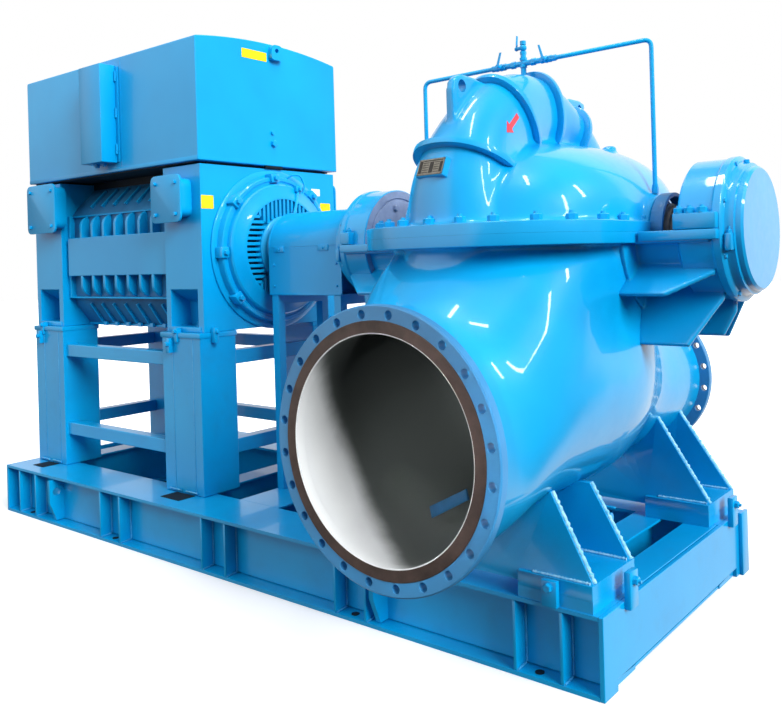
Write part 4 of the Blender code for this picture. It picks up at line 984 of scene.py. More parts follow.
def frame_openings():
    """Painted shade: dark plates over the pockets in the rails' top plates and over the anchor holes in the
    bottom ones; and lips on the end plates.
    """
    holes = bmesh.new()
    for sign in (-1, 1):
        for x0, x1, y0, y1 in ((-1.98, -1.85, 0.565, 0.68), (-0.583, -0.413, 0.565, 0.677)):
            outline = rounded_outline([(x0, sign * y0), (x1, sign * y0), (x1, sign * y1), (x0, sign * y1)],
                                      0.006, 3)
            add_plate(holes, outline, 'Z', BASE_H + SKIN, BASE_H + 0.0016)
        for x in (-1.885, -0.947, 0.93, 1.865):
            add_rod(holes, (x, sign * 0.731, 0.010), (x, sign * 0.731, 0.0206), 0.018, 24)
    piece("frame_openings", holes, "painted_shade_black")
    lips = bmesh.new()
    for x0, x1 in ((2.1505, 2.168), (-2.168, -2.1505)):
        add_box(lips, (x0, x1), (0.70, 0.79), (0.0, 0.30), 0.002)
    piece("end_plate_lips", lips, "plate_enamel")


def drain_line():
    """Pipe from the case's lowest point, with a lever cock at its end."""
    y, z = -0.26, 0.488
    pipe = bmesh.new()
    add_rod(pipe, (PUMP_X, y, 0.575), (PUMP_X, y, z), 0.021, 24)
    add_rod(pipe, (PUMP_X, y, z), (1.86, y, z), 0.0165, 24)
    add_box(pipe, (1.535, 1.585), (y - 0.025, y + 0.025), (z - 0.025, z + 0.025), 0.006)
    add_rod(pipe, (1.845, y, z), (1.915, y, z), 0.026, 6)
    add_rod(pipe, (1.915, y, z), (1.945, y, z), 0.023, 24)
    piece("drain_line", pipe, "plate_enamel")
    lever = bmesh.new()
    add_rod(lever, (1.880, y, z + 0.02), (1.880, y, z + 0.044), 0.008, 16)
    add_box(lever, (1.868, 1.965), (y - 0.008, y + 0.008), (z + 0.044, z + 0.050), 0.002)
    piece("drain_cock_lever", lever, "plate_enamel")


def add_tube(bm, points, radius, bend=0.03, sides=20):
    """Pipe through points, its corners bent to a radius."""
    path = [Vector(points[0])]
    for before, here, after in zip(points, points[1:], points[2:]):
        before, here, after = Vector(before), Vector(here), Vector(after)
        first, last = here + (before - here).normalized() * bend, here + (after - here).normalized() * bend
        for i in range(9):
            t = i / 8
            path.append(first.lerp(here, t).lerp(here.lerp(last, t), t))
    path.append(Vector(points[-1]))
    frames = []
    side = (path[1] - path[0]).orthogonal().normalized()
    for i, point in enumerate(path):
        ahead = (path[min(i + 1, len(path) - 1)] - path[max(i - 1, 0)]).normalized()
        side = (side - ahead * side.dot(ahead)).normalized()
        frames.append((point, side, ahead.cross(side)))

    def shape(turn, way):
        point, u, v = frames[round(way * (len(path) - 1))]
        return point + (u * math.cos(2 * math.pi * turn) + v * math.sin(2 * math.pi * turn)) * radius
    add_skin(bm, shape, sides, len(path) - 1)


# Motor.

# Ribs along the core: how many, how far apart, and the first one's place.
RIBS = 7
RIB_PITCH = 0.129
RIB_X0 = -1.617
# Section of the motor's core from its top round the front to its underside, as (Y, Z).
CORE = [(-0.285, 2.112), (-0.405, 1.99), (-0.452, 1.93), (-0.452, 1.405), (-0.432, 1.345), (-0.335, 1.212)]
# Ribs and sloping slats over and under the core's flat side, as (Y, Z).
UPPER_RIB = [(-0.44, 1.75), (-0.50, 1.75), (-0.507, 1.79), (-0.507, 1.862), (-0.499, 1.888), (-0.482, 1.908),
             (-0.455, 1.922), (-0.42, 1.926)]
LOWER_RIB = [(-0.44, 1.57), (-0.50, 1.57), (-0.507, 1.53), (-0.507, 1.465), (-0.498, 1.438), (-0.478, 1.416),
             (-0.445, 1.400), (-0.42, 1.396)]
UPPER_SLAT = [(-0.432, 1.985), (-0.318, 2.099), (-0.29, 2.075), (-0.40, 1.965)]
LOWER_SLAT = [(-0.452, 1.352), (-0.366, 1.226), (-0.33, 1.245), (-0.42, 1.372)]


def motor_sides():
    """Frame of the motor: drilled end frames with foot pockets, and the ribbed core between them."""
    for tag, x0, x1 in (("motor", MOTOR_X0, MOTOR_X0 + 0.33), ("pump", MOTOR_X1 - 0.34, MOTOR_X1)):
        bm = bmesh.new()
        add_box(bm, (x0, x1), (-0.53, 0.53), (1.206, 2.148))
        tools = []
        for sign in (-1, 1):
            pocket = bmesh.new()
            add_plate(pocket, [(sign * 0.60, 1.455), (sign * 0.53, 1.448), (sign * 0.40, 1.372),
                               (sign * 0.385, 1.18), (sign * 0.60, 1.18)], 'X', x0 + 0.045, x1 - 0.05)
            tools.append(pocket)
        bore = bmesh.new()
        add_rod(bore, (x0 - 1, 0, SHAFT_Z), (x1 + 1, 0, SHAFT_Z), 0.30, 48)
        replaces = ("motor_frame",) if tag == "pump" else ()
        piece("motor_end_frame_" + tag, cut(bm, *tools, bore), "sheet_enamel", bevel=0.003,
              replaces=replaces)
    bm = bmesh.new()
    add_plate(bm, CORE + [(-y, z) for y, z in CORE[::-1]], 'X', MOTOR_X0 + 0.32, MOTOR_X1 - 0.33)
    bore = bmesh.new()
    add_rod(bore, (-3, 0, SHAFT_Z), (1, 0, SHAFT_Z), 0.30, 48)
    # The core between the ribs is darker enamel: painted shade.
    piece("motor_core", cut(bm, bore), "painted_shade_enamel", bevel=0.004)
    # Near black neck in the recess under the cooler: painted shade.
    bm = bmesh.new()
    add_box(bm, (MOTOR_X0 + 0.04, MOTOR_X0 + 0.30), (-0.46, 0.46), (2.140, 2.1645))
    add_box(bm, (MOTOR_X1 - 0.30, MOTOR_X1 - 0.03), (-0.46, 0.46), (2.140, 2.1645))
    add_box(bm, (MOTOR_X0 + 0.29, MOTOR_X1 - 0.29), (-0.285, 0.285), (2.105, 2.1645))
    piece("motor_cooler_neck", bm, "painted_shade_black")
    # Dark sheet under the cooler's overhang: painted shadow.
    bm = bmesh.new()
    add_box(bm, (MOTOR_X0 + 0.02, MOTOR_X1 - 0.05), (-0.528, 0.528), (2.1585, 2.1648))
    piece("cooler_underside", bm, "painted_shade_black")
    ribs = bmesh.new()
    slats = bmesh.new()
    bands = bmesh.new()
    low, high = MOTOR_X0 + 0.33, MOTOR_X1 - 0.34
    for sign in (-1, 1):
        for k in range(RIBS):
            x = RIB_X0 + RIB_PITCH * k
            for outline in (UPPER_RIB, LOWER_RIB):
                add_plate(ribs, [(-sign * y, z) for y, z in outline], 'X', x - 0.014, x + 0.014)
            for outline in (UPPER_SLAT, LOWER_SLAT):
                add_plate(slats, [(-sign * y, z) for y, z in outline], 'X', x - 0.009, x + 0.009)
            add_box(slats, (x + 0.018, x + 0.052), sorted((sign * 0.352, sign * 0.372)), (1.2065, 1.232))
        add_box(bands, (low + 0.035, high), sorted((sign * 0.507, sign * 0.44)), (1.534, 1.785))
        add_box(bands, (low, low + 0.03), sorted((sign * 0.487, sign * 0.44)), (1.395, 1.93))
        add_box(bands, (low, high), sorted((sign * 0.466, sign * 0.44)), (1.918, 1.930))
        add_box(bands, (low, high), sorted((sign * 0.487, sign * 0.43)), (1.388, 1.400))
        add_box(bands, (low, high), sorted((sign * 0.350, sign * 0.320)), (1.2064, 1.222))
    piece("motor_ribs", ribs, "sheet_enamel", bevel=0.006)
    piece("motor_slats", slats, "sheet_enamel", bevel=0.003)
    piece("motor_wrapper_bands", bands, "sheet_enamel", bevel=0.006)
    feet = bmesh.new()
    bolts = bmesh.new()
    for sign in (-1, 1):
        for x in (MOTOR_X0 + 0.165, MOTOR_X1 - 0.17):
            # A foot bolt in the pocket, and a block with a screw that aligns the foot.
            add_bolt(bolts, (x + 0.05, sign * 0.46, 1.2362), (0, 0, 1), 0.042, stud=0.03)
            add_box(feet, (x - 0.145, x + 0.145), sorted((sign * 0.39, sign * 0.535)), (1.2064, 1.236), 0.003)
            add_box(feet, (x - 0.055, x - 0.025), sorted((sign * 0.537, sign * 0.572)), (1.150, 1.232), 0.003)
            add_bolt(bolts, (x - 0.04, sign * 0.572, 1.212), (0, sign, 0), 0.022)
        add_box(feet, (MOTOR_X1 + 0.004, MOTOR_X1 + 0.040), sorted((sign * 0.49, sign * 0.46)),
                (1.150, 1.232), 0.003)
        add_bolt(bolts, (MOTOR_X1 + 0.040, sign * 0.475, 1.212), (1, 0, 0), 0.022)
    piece("motor_feet", feet, "sheet_enamel")
    piece("motor_foot_bolts", bolts, "sheet_enamel")


def side_covers():
    """Bolted access covers near the frame's corners, each a rounded lid on a shallow box."""
    bolts = bmesh.new()
    for tag, x0, x1, z0, z1 in (("left", -2.075, -1.725, 1.820, 2.140),
                                ("right", -0.678, -0.403, 1.825, 2.092)):
        for side, sign in (("front", -1), ("rear", 1)):
            bm = bmesh.new()
            lid = rounded_outline([(x0, z0), (x1, z0), (x1, z1), (x0, z1)], 0.045, 6)
            add_plate(bm, lid, 'Y', *sorted((sign * 0.606, sign * 0.6185)), 0.0025)
            box = rounded_outline([(x0 + 0.02, z0 + 0.03), (x1 - 0.012, z0 + 0.03), (x1 - 0.012, z1 - 0.02),
                                   (x0 + 0.02, z1 - 0.02)], 0.05, 6)
            add_plate(bm, box, 'Y', *sorted((sign * 0.5302, sign * 0.6065)), 0.004)
            name = "cover_%s_%s" % (tag, side)
            piece(name + "_lid", bm, "sheet_enamel", smooth=40, replaces=(name,))
            for x in (x0 + 0.045, x1 - 0.045):
                for z in (z0 + 0.045, z1 - 0.045):
                    add_bolt(bolts, (x, sign * 0.6187, z), (0, sign, 0), 0.019)
    piece("cover_screws", bolts, "sheet_enamel")


def drive_shield():
    """End shield at the coupling: a turned casting with a ring of barred air inlets."""
    x1 = MOTOR_X1
    profile = [(0.0004, 0.062), (0.0004, 0.469), (0.0035, 0.473), (0.010, 0.473), (0.013, 0.468),
               (0.014, 0.437), (0.050, 0.432), (0.056, 0.426), (0.056, 0.409), (0.049, 0.403), (0.048, 0.394),
               (0.074, 0.387), (0.082, 0.378), (0.084, 0.362), (0.100, 0.316), (0.104, 0.304), (0.104, 0.296),
               (0.062, 0.294), (0.062, 0.199), (0.108, 0.197), (0.116, 0.190), (0.128, 0.168), (0.148, 0.158),
               (0.154, 0.152), (0.155, 0.140), (0.155, 0.062)]
    bm = bmesh.new()
    add_spin(bm, [(x1 + a, r) for a, r in profile], (0, 0, SHAFT_Z), 'X', 128)
    for part in bm.faces:
        middle = part.calc_center_median()
        if abs(middle.x - x1 - 0.062) < 0.001 and 0.199 < math.hypot(middle.y, middle.z - SHAFT_Z) < 0.294:
            part.material_index = 1
    piece("drive_shield_casting", bm, "cast_enamel", smooth=32, replaces=("drive_shield",),
          others=("slot_shadow",))
    bars = bmesh.new()
    inner, outer, pitch = 0.196, 0.297, 0.0315
    for k in range(-8, 9):
        offset = k * pitch
        if abs(offset) >= outer:
            continue
        reach = math.sqrt(outer ** 2 - offset ** 2)
        start = math.sqrt(max(inner ** 2 - offset ** 2, 0.0))
        for sign in (-1, 1):
            # Upright bars above and below the shaft, level bars at both sides, meeting on the diagonals.
            first = max(start, abs(offset))
            if reach - first < 0.02:
                continue
            add_box(bars, (x1 + 0.066, x1 + 0.102), (offset - 0.009, offset + 0.009),
                    sorted((SHAFT_Z + sign * first, SHAFT_Z + sign * reach)), 0.002, 1)
            add_box(bars, (x1 + 0.066, x1 + 0.102), sorted((sign * first, sign * reach)),
                    (SHAFT_Z + offset - 0.009, SHAFT_Z + offset + 0.009), 0.002, 1)
    piece("drive_shield_bars", bars, "cast_enamel", smooth=30)


def drive_shield_fittings():
    """Eight bolted lugs on the shield's rim, and the bearing sensor's lead and conduit."""
    x1 = MOTOR_X1
    lugs = bmesh.new()
    bolts = bmesh.new()
    for degrees in (5, 50, 95, 140, 182, 220, 267, 320):
        a = math.radians(degrees)
        turn = Matrix.Translation((0, 0, SHAFT_Z)) @ Matrix.Rotation(a, 4, 'X')
        block = bmesh.new()
        add_box(block, (x1 + 0.012, x1 + 0.074), (0.398, 0.452), (-0.032, 0.032), 0.007)
        block.transform(turn)
        mesh = bpy.data.meshes.new("block")
        block.to_mesh(mesh)
        block.free()
        lugs.from_mesh(mesh)
        bpy.data.meshes.remove(mesh)
        add_bolt(bolts, (x1 + 0.074, 0.425 * math.cos(a), SHAFT_Z + 0.425 * math.sin(a)), (1, 0, 0), 0.028)
    piece("drive_shield_lugs", lugs, "cast_enamel", smooth=40)
    piece("drive_shield_bolts", bolts, "cast_enamel")
    leads = bmesh.new()
    add_tube(leads, [(x1 + 0.02, 0.085, 2.088), (x1 + 0.07, 0.110, 2.118), (x1 + 0.075, 0.165, 2.112),
                     (x1 + 0.08, 0.195, 2.050), (x1 + 0.075, 0.165, 1.960), (x1 + 0.08, 0.160, 1.850)], 0.006,
             0.02, 10)
    piece("bearing_sensor_lead", leads, "sheet_enamel", smooth=60)
    conduit = bmesh.new()
    add_tube(conduit, [(x1 + 0.09, 0.128, 2.024), (x1 + 0.115, 0.082, 1.925), (x1 + 0.13, 0.045, 1.850)],
             0.009, 0.02, 12)
    add_box(conduit, (x1 + 0.058, x1 + 0.105), (0.100, 0.150), (2.010, 2.046), 0.004)
    add_bolt(conduit, (x1 + 0.105, 0.125, 2.028), (1, 0, 0), 0.022)
    piece("bearing_sensor_conduit", conduit, "sheet_enamel")


def rear_shield():
    """End shield at the free end: a stepped cover with two circles of screws."""
    x0 = MOTOR_X0
    back = [(-0.0004, 0.02), (-0.0004, 0.455), (-0.05, 0.452), (-0.052, 0.41), (-0.08, 0.40), (-0.086, 0.34),
            (-0.10, 0.325), (-0.132, 0.30), (-0.138, 0.27), (-0.150, 0.262), (-0.1595, 0.20),
            (-0.1598, 0.165), (-0.150, 0.16), (-0.150, 0.02)]
    bm = bmesh.new()
    add_spin(bm, [(x0 + a, r) for a, r in back], (0, 0, SHAFT_Z), 'X', 96)
    piece("rear_shield_casting", bm, "cast_enamel", smooth=32, replaces=("rear_shield",))
    bolts = bmesh.new()
    add_bolt_circle(bolts, x0 - 0.0505, 0.432, 8, 22.5, (-1, 0, 0), 0.028)
    add_bolt_circle(bolts, x0 - 0.1375, 0.284, 8, 22.5, (-1, 0, 0), 0.018)
    piece("rear_shield_bolts", bolts, "cast_enamel")


# Cooler box: both ends along X, half depth, underside and eaves.
COOLER = (-2.165, -0.325, 0.55, 2.165, 2.855)


def cooler():
    """Heat exchanger box with an arched roof, its seams, lifting lugs, screws and drain slot."""
    x0, x1, y, z0, z1 = COOLER
    rise, steps = 0.045, 24
    arch = [(-y, z0), (y, z0), (y, z1 - 0.012)]
    arch += [(y - 0.004 - 2 * (y - 0.004) * i / steps, z1 + rise * (1 - (1 - 2 * i / steps) ** 2))
             for i in range(steps + 1)]
    arch.append((-y, z1 - 0.012))
    bm = bmesh.new()
    add_plate(bm, arch, 'X', x0, x1)
    piece("cooler_casing", bm, "sheet_enamel", smooth=35, bevel=0.007, replaces=("cooler_box",))
    trim = bmesh.new()
    # Folded joints of the sheets, and the lip that the box stands on.
    for sign in (-1, 1):
        add_box(trim, (x0 + 0.006, x1 - 0.006), sorted((sign * y, sign * (y + 0.0022))),
                (z0 + 0.002, z0 + 0.024), 0.001)
        add_box(trim, (-1.062, -1.048), sorted((sign * y, sign * (y + 0.0016))), (z0 + 0.03, z1 - 0.02),
                0.0007)
    piece("cooler_seams", trim, "sheet_enamel")
    for tag, low, high in (("pump", x1 - 0.010, x1 + 0.034), ("motor", x0 - 0.034, x0 + 0.010)):
        blade = bmesh.new()
        outline = rounded_outline([(-0.020, 2.800), (0.074, 2.800), (0.070, 2.892), (-0.014, 2.892)], 0.030,
                                  5)
        add_plate(blade, outline, 'X', low, high)
        way = bmesh.new()
        add_rod(way, (low - 0.1, 0.024, 2.857), (high + 0.1, 0.024, 2.857), 0.014, 24)
        piece("cooler_lug_" + tag, cut(blade, way), "sheet_enamel", bevel=0.003)
    bits = bmesh.new()
    for at_y, z, across in ((0.004, 2.301, 0.034), (-0.002, 2.365, 0.020)):
        add_bolt(bits, (x1 + 0.0002, at_y, z), (1, 0, 0), across)
    piece("cooler_screws", bits, "sheet_enamel")
    # The drain slot is a dark plate: painted shade.
    slot = bmesh.new()
    add_box(slot, (x1 - 0.012, x1 + 0.004), (-0.062, 0.073), (2.1505, 2.1635), 0.002)
    piece("cooler_drain_slot", slot, "painted_shade_black")


def terminal_box():
    """Terminal box on the cooler's front wall, with its hinge strip, hinges and cable glands."""
    box = bmesh.new()
    add_box(box, (-1.330, -1.100), (-0.6575, -0.5503), (2.218, 2.808), 0.004)
    add_box(box, (-1.0995, -1.072), (-0.5562, -0.5503), (2.222, 2.800), 0.0015)
    piece("terminal_box_shell", box, "sheet_enamel", replaces=("terminal_box",))
    fittings = bmesh.new()
    for z in (2.30, 2.52, 2.74):
        add_rod(fittings, (-1.0920, -0.5590, z - 0.030), (-1.0920, -0.5590, z + 0.030), 0.0070, 14)
    for x, nut, nut_end, sleeve, end in ((-1.25, 0.022, 2.206, 0.016, 2.196),
                                         (-1.17, 0.016, 2.208, 0.011, 2.200)):
        add_rod(fittings, (x, -0.598, 2.218), (x, -0.598, nut_end), nut, 6)
        add_rod(fittings, (x, -0.598, nut_end), (x, -0.598, end), sleeve, 20)
    piece("terminal_box_fittings", fittings, "sheet_enamel", smooth=30)


def labels():
    """Blank printed labels where the maker's stand."""
    x = MOTOR_X1
    # Name, finish, place along X, and both ends along Y and Z.
    rows = (("label_frame_left", "yellow_vinyl", x, (-0.546, -0.442), (1.897, 1.972)),
            ("label_frame_right", "yellow_vinyl", x, (0.402, 0.492), (1.886, 1.957)),
            ("label_frame_white", "white_vinyl", x, (0.326, 0.402), (2.002, 2.046)),
            ("label_cooler", "yellow_vinyl", COOLER[1], (-0.221, -0.031), (2.787, 2.840)))
    for name, finish, face, ys, zs in rows:
        bm = bmesh.new()
        low, high = max(ys[0], -0.527), ys[1]
        outline = rounded_outline([(low, zs[0]), (high, zs[0]), (high, zs[1]), (low, zs[1])], 0.004, 3)
        add_plate(bm, outline, 'X', face + 0.0003, face + 0.0012)
        piece(name, bm, finish)


# Stand, guard and coupling.

def stand_details():
    """Plates under and over the stand's posts, the joints of their channels, and alignment blocks."""
    plates = bmesh.new()
    seams = bmesh.new()
    beads = bmesh.new()
    screws = bmesh.new()
    for sign in (-1, 1):
        for x0, x1 in ((MOTOR_X0 + 0.02, MOTOR_X0 + 0.37), (MOTOR_X1 - 0.35, MOTOR_X1)):
            ys = sorted((sign * 0.31, sign * 0.56))
            out = sign * 0.56
            add_box(plates, (x0 - 0.010, x1 + 0.004), (ys[0] - 0.006, ys[1] + 0.006), (1.176, 1.2055), 0.003)
            # Two channels, toe to toe, make each post: their joints run up its front.
            for x in (-2.011, -1.834) if x0 < -1 else (-0.592, -0.41):
                add_box(seams, (x - 0.003, x + 0.003), sorted((out, out + sign * 0.0022)),
                        (BASE_H + 0.02, 1.17), 0.001)
            weld_y, weld_z = out + sign * 0.009, BASE_H + 0.018
            for x, way in ((x0 + 0.05, 1), (x1 - 0.05, -1)):
                add_bead(beads, (x, weld_y, weld_z), (x + way * 0.10, weld_y, weld_z), 0.005, x)
            add_box(plates, (x0 + 0.075, x0 + 0.105), sorted((out, out + sign * 0.03)), (1.09, 1.174), 0.003)
            add_bolt(screws, (x0 + 0.09, out + sign * 0.03, 1.14), (0, sign, 0), 0.024)
    piece("stand_plates", plates, "plate_enamel")
    # Joints and beads are painted a shade lighter as highlight.
    piece("stand_channel_joints", seams, "seam_painted_highlight")
    piece("stand_weld_beads", beads, "seam_painted_highlight", smooth=60)
    piece("stand_screws", screws, "plate_enamel")


def coupling_guard():
    """Upper half of the guard with its end rims, and the tabs and screws of its joint."""
    x0, x1, r = -0.165, 0.40, 0.20
    z = SHAFT_Z + 0.006
    bm = bmesh.new()
    screws = bmesh.new()
    for sign in (-1, 1):
        for x in (x0 + 0.09, x1 - 0.13):
            add_box(bm, (x - 0.038, x + 0.038), sorted((sign * (r + 0.0002), sign * (r + 0.0050))),
                    (z - 0.028, z + 0.004), 0.001)
            add_bolt(screws, (x, sign * (r + 0.0052), z - 0.013), (0, sign, 0), 0.011)
        for x in (x0 + 0.045, x1 - 0.035):
            for low in (0.10, 0.22):
                add_bolt(screws, (x, sign * (r + 0.0003), z - low), (0, sign, 0), 0.011)
        # Folded lip along each lower edge.
        add_box(bm, (x0 + 0.004, x1 - 0.004), sorted((sign * (r + 0.0001), sign * (r + 0.0030))),
                (1.4005, 1.412), 0.001)
    piece("guard_tabs", bm, "sheet_enamel")
    piece("guard_screws", screws, "sheet_enamel")
    rims = bmesh.new()
    for x in (x0, x1 - 0.010):
        add_plate(rims, half_ring(r + 0.003, r - 0.008, z, 32), 'X', x, x + 0.010)
    piece("guard_rims", rims, "sheet_enamel", bevel=0.0015)
    bm = bmesh.new()
    add_plate(bm, half_ring(r + 0.0004, r - 0.006, z, 32), 'X', x0 + 0.002, x1 - 0.002)
    piece("guard_arch", bm, "sheet_enamel", smooth=30, replaces=("guard_upper",))


def coupling():
    """Two drilled half couplings with their pins."""
    halves = (("motor", [(-0.06, 0.061), (-0.06, 0.086), (-0.054, 0.092), (0.024, 0.092), (0.030, 0.100),
                         (0.034, 0.142), (0.038, 0.146), (0.088, 0.146), (0.0895, 0.144), (0.0895, 0.061)]),
              ("pump", [(0.24, 0.056), (0.24, 0.086), (0.234, 0.092), (0.156, 0.092), (0.150, 0.100),
                        (0.146, 0.142), (0.142, 0.146), (0.0920, 0.146), (0.0905, 0.144), (0.0905, 0.056)]))
    pin_places = [(0.118 * math.cos(math.radians(45 * i)), SHAFT_Z + 0.118 * math.sin(math.radians(45 * i)))
                  for i in range(8)]
    for tag, profile in halves:
        bm = bmesh.new()
        add_spin(bm, profile, (0, 0, SHAFT_Z), 'X', 72)
        ways = bmesh.new()
        for y, z in pin_places:
            add_rod(ways, (-0.2, y, z), (0.4, y, z), 0.0125, 20)
        piece("half_coupling_" + tag, cut(bm, ways), "shaft_steel", body="rotor",
              bevel=0.001, replaces=("coupling_" + tag,))
    pins = bmesh.new()
    for y, z in pin_places:
        add_rod(pins, (0.030, y, z), (0.152, y, z), 0.0115, 16)
        add_bolt(pins, (0.1465, y, z), (1, 0, 0), 0.021, stud=0.006)
    piece("coupling_pins", pins, "zinc_plate", body="rotor")


# Flush line.

# Middle of the cross fitting, and how far along its arms the cocks sit.
CROSS = Vector((PUMP_X - 0.005, -0.205, 2.440))
BRANCH_VALVE = 0.035 + 0.055 + 0.026 + 0.00045


def add_cock_body(bm, middle, stem):
    """Ball shaped body of a cock, with its stem, spindle and spindle nut to one side."""
    bmesh.ops.create_uvsphere(bm, u_segments=24, v_segments=16, radius=0.0165,
                              matrix=Matrix.Translation(middle))
    for near, far, radius, sides in ((0.010, 0.029, 0.0078, 16), (0.029, 0.0395, 0.0040, 12),
                                     (0.0365, 0.0405, 0.0080, 6)):
        add_rod(bm, middle + stem * near, middle + stem * far, radius, sides)


def flush_line():
    """Sealing water pipes from a cross on the case top to both glands, with three lever cocks."""
    x, y, z = CROSS
    bm = bmesh.new()
    for turn in (-1, 1):
        add_rod(bm, (x, y, z), (x + turn * 0.0895, y, z), 0.0125, 20)
        add_rod(bm, (x + turn * 0.040, y, z), (x + turn * 0.062, y, z), 0.0165, 6)
    add_rod(bm, (x, y, z - 0.055), (x, y, z + 0.0400), 0.0125, 20)
    add_rod(bm, (x, y, z - 0.018), (x, y, z - 0.007), 0.0165, 20)
    add_rod(bm, (x, y, z + 0.014), (x, y, z + 0.026), 0.0165, 6)
    piece("flush_cross_fitting", bm, "plate_enamel", smooth=30, replaces=("flush_cross",))
    for tag, turn, gland_y, rise, drop in (("free", 1, -0.02, 0.050, SHAFT_Z + 0.1655),
                                           ("drive", -1, -0.250, -0.014, SHAFT_Z + SPLIT_T + 0.0005)):
        valve = x + turn * BRANCH_VALVE
        bm = bmesh.new()
        for side in (-1, 1):
            add_rod(bm, (valve + side * 0.0115, y, z), (valve + side * 0.0258, y, z), 0.0158, 6)
        add_cock_body(bm, Vector((valve, y, z)), Vector((0, -1, 0)))
        piece("cock_" + tag, bm, "plate_enamel", smooth=35,
              replaces=("flush_valve_" + tag,))
        start, end = valve + turn * 0.0263, PUMP_X + (0.515 if turn > 0 else -0.527)
        bm = bmesh.new()
        add_tube(bm, [(start, y, z), (start + turn * 0.06, y, z), (end, gland_y, z + rise),
                      (end, gland_y, drop)], 0.0098, 0.035)
        # Union nuts at both ends, the lower one with a collar over it.
        add_rod(bm, (start, y, z), (start + turn * 0.022, y, z), 0.0140, 6)
        add_rod(bm, (end, gland_y, drop), (end, gland_y, drop + 0.028), 0.0150, 6)
        add_rod(bm, (end, gland_y, drop + 0.028), (end, gland_y, drop + 0.040), 0.0125, 16)
        piece("flush_pipe_run_" + tag, bm, "sheet_enamel", smooth=40,
              replaces=("flush_pipe_" + tag,))
    bm = bmesh.new()
    z += 0.070
    add_rod(bm, (x, y, z - 0.0297), (x, y, z - 0.016), 0.0145, 6)
    add_rod(bm, (x, y, z + 0.014), (x, y, z + 0.0302), 0.0135, 20)
    add_cock_body(bm, Vector((x, y, z)), Vector((-1, 0, 0)))
    piece("vent_cock", bm, "plate_enamel", smooth=35, replaces=("vent_valve",))


# Plates and marks on the case.

def nameplate():
    """Blank data plate on its pad, with etched bars in place of words."""
    centre = Vector((1.534, -0.8720, 1.932))
    across, up = Vector((0.993, -0.125, -0.006)).normalized(), Vector((0.06, 0.36, 0.93)).normalized()
    out = across.cross(up).normalized()
    up = out.cross(across).normalized()
    place = Matrix([[across[i], up[i], out[i], centre[i]] for i in range(3)] + [[0, 0, 0, 1]])

    def put(name, finish, boxes, bevel):
        """Boxes in the plate's own frame, as one piece."""
        bm = bmesh.new()
        for x, y, z in boxes:
            add_box(bm, x, y, z, bevel, 1)
        bm.transform(place)
        return piece(name, bm, finish)
    put("nameplate_pad", "cast_enamel", [((-0.073, 0.073), (-0.039, 0.039), (-0.05, 0.009))], 0.003)
    put("nameplate", "satin_plate", [((-0.068, 0.068), (-0.034, 0.034), (0.0092, 0.0112))], 0.0008)
    high = (0.0112, 0.0117)
    bars = [((-0.062, -0.046), (-0.026, 0.026), high), ((-0.006, 0.014), (-0.026, 0.020), high),
            ((-0.042, 0.060), (0.0235, 0.0275), high), ((0.048, 0.062), (-0.026, 0.018), high)]
    bars += [((-0.043, -0.010), (-0.024 + 0.010 * i, -0.0215 + 0.010 * i), high) for i in range(5)]
    bars += [((0.018, 0.045), (-0.024 + 0.010 * i, -0.0215 + 0.010 * i), high) for i in range(5)]
    put("nameplate_etching", "etched_black", bars, 0.0)
    rivets = bmesh.new()
    for x in (-0.064, 0.064):
        for y in (-0.030, 0.030):
            bmesh.ops.create_uvsphere(rivets, u_segments=12, v_segments=8, radius=0.0028,
                                      matrix=place @ Matrix.Translation((x, y, 0.0112)))
    piece("nameplate_rivets", rivets, "zinc_plate")


def direction_arrow():
    """Red arrow that gives the rotor's direction, laid on the spiral's shoulder."""
    target = bpy.data.objects["upper_case_casting"]
    tree = BVHTree.FromObject(target, bpy.context.evaluated_depsgraph_get())
    tail, tip = Vector((1.693, -0.491, 2.158)), Vector((1.704, -0.597, 2.077))
    along = (tip - tail).normalized()
    out = Vector((1, 0, 0))
    across = along.cross(out).normalized()
    length = (tip - tail).length
    shape = [(0.0, -0.011), (length - 0.045, -0.011), (length - 0.045, -0.028), (length, 0.0),
             (length - 0.045, 0.028), (length - 0.045, 0.011), (0.0, 0.011)]
    bm = bmesh.new()
    face = bm.faces.new([bm.verts.new(tail + along * a + across * b) for a, b in shape])
    bmesh.ops.triangulate(bm, faces=[face])
    bmesh.ops.subdivide_edges(bm, edges=list(bm.edges), cuts=5, use_grid_fill=True)
    for v in bm.verts:
        hit = tree.ray_cast(v.co + out * 0.3, -out)
        v.co = (hit[0] if hit[0] else v.co) + out * 0.0016
    made = bmesh.ops.extrude_face_region(bm, geom=list(bm.faces))
    lower = [g for g in made["geom"] if isinstance(g, bmesh.types.BMVert)]
    bmesh.ops.translate(bm, verts=lower, vec=-out * 0.004)
    bmesh.ops.recalc_face_normals(bm, faces=bm.faces)
    piece("direction_arrow", bm, "red_vinyl", smooth=35)


# Stage.

def stage_piece(name, bm, mat):
    """Object of the stage, which is no piece of the set."""
    mesh = bpy.data.meshes.new(name)
    bm.to_mesh(mesh)
    bm.free()
    mesh.materials.append(mat)
    obj = bpy.data.objects.new(name, mesh)
    bpy.context.scene.collection.objects.link(obj)
    return obj


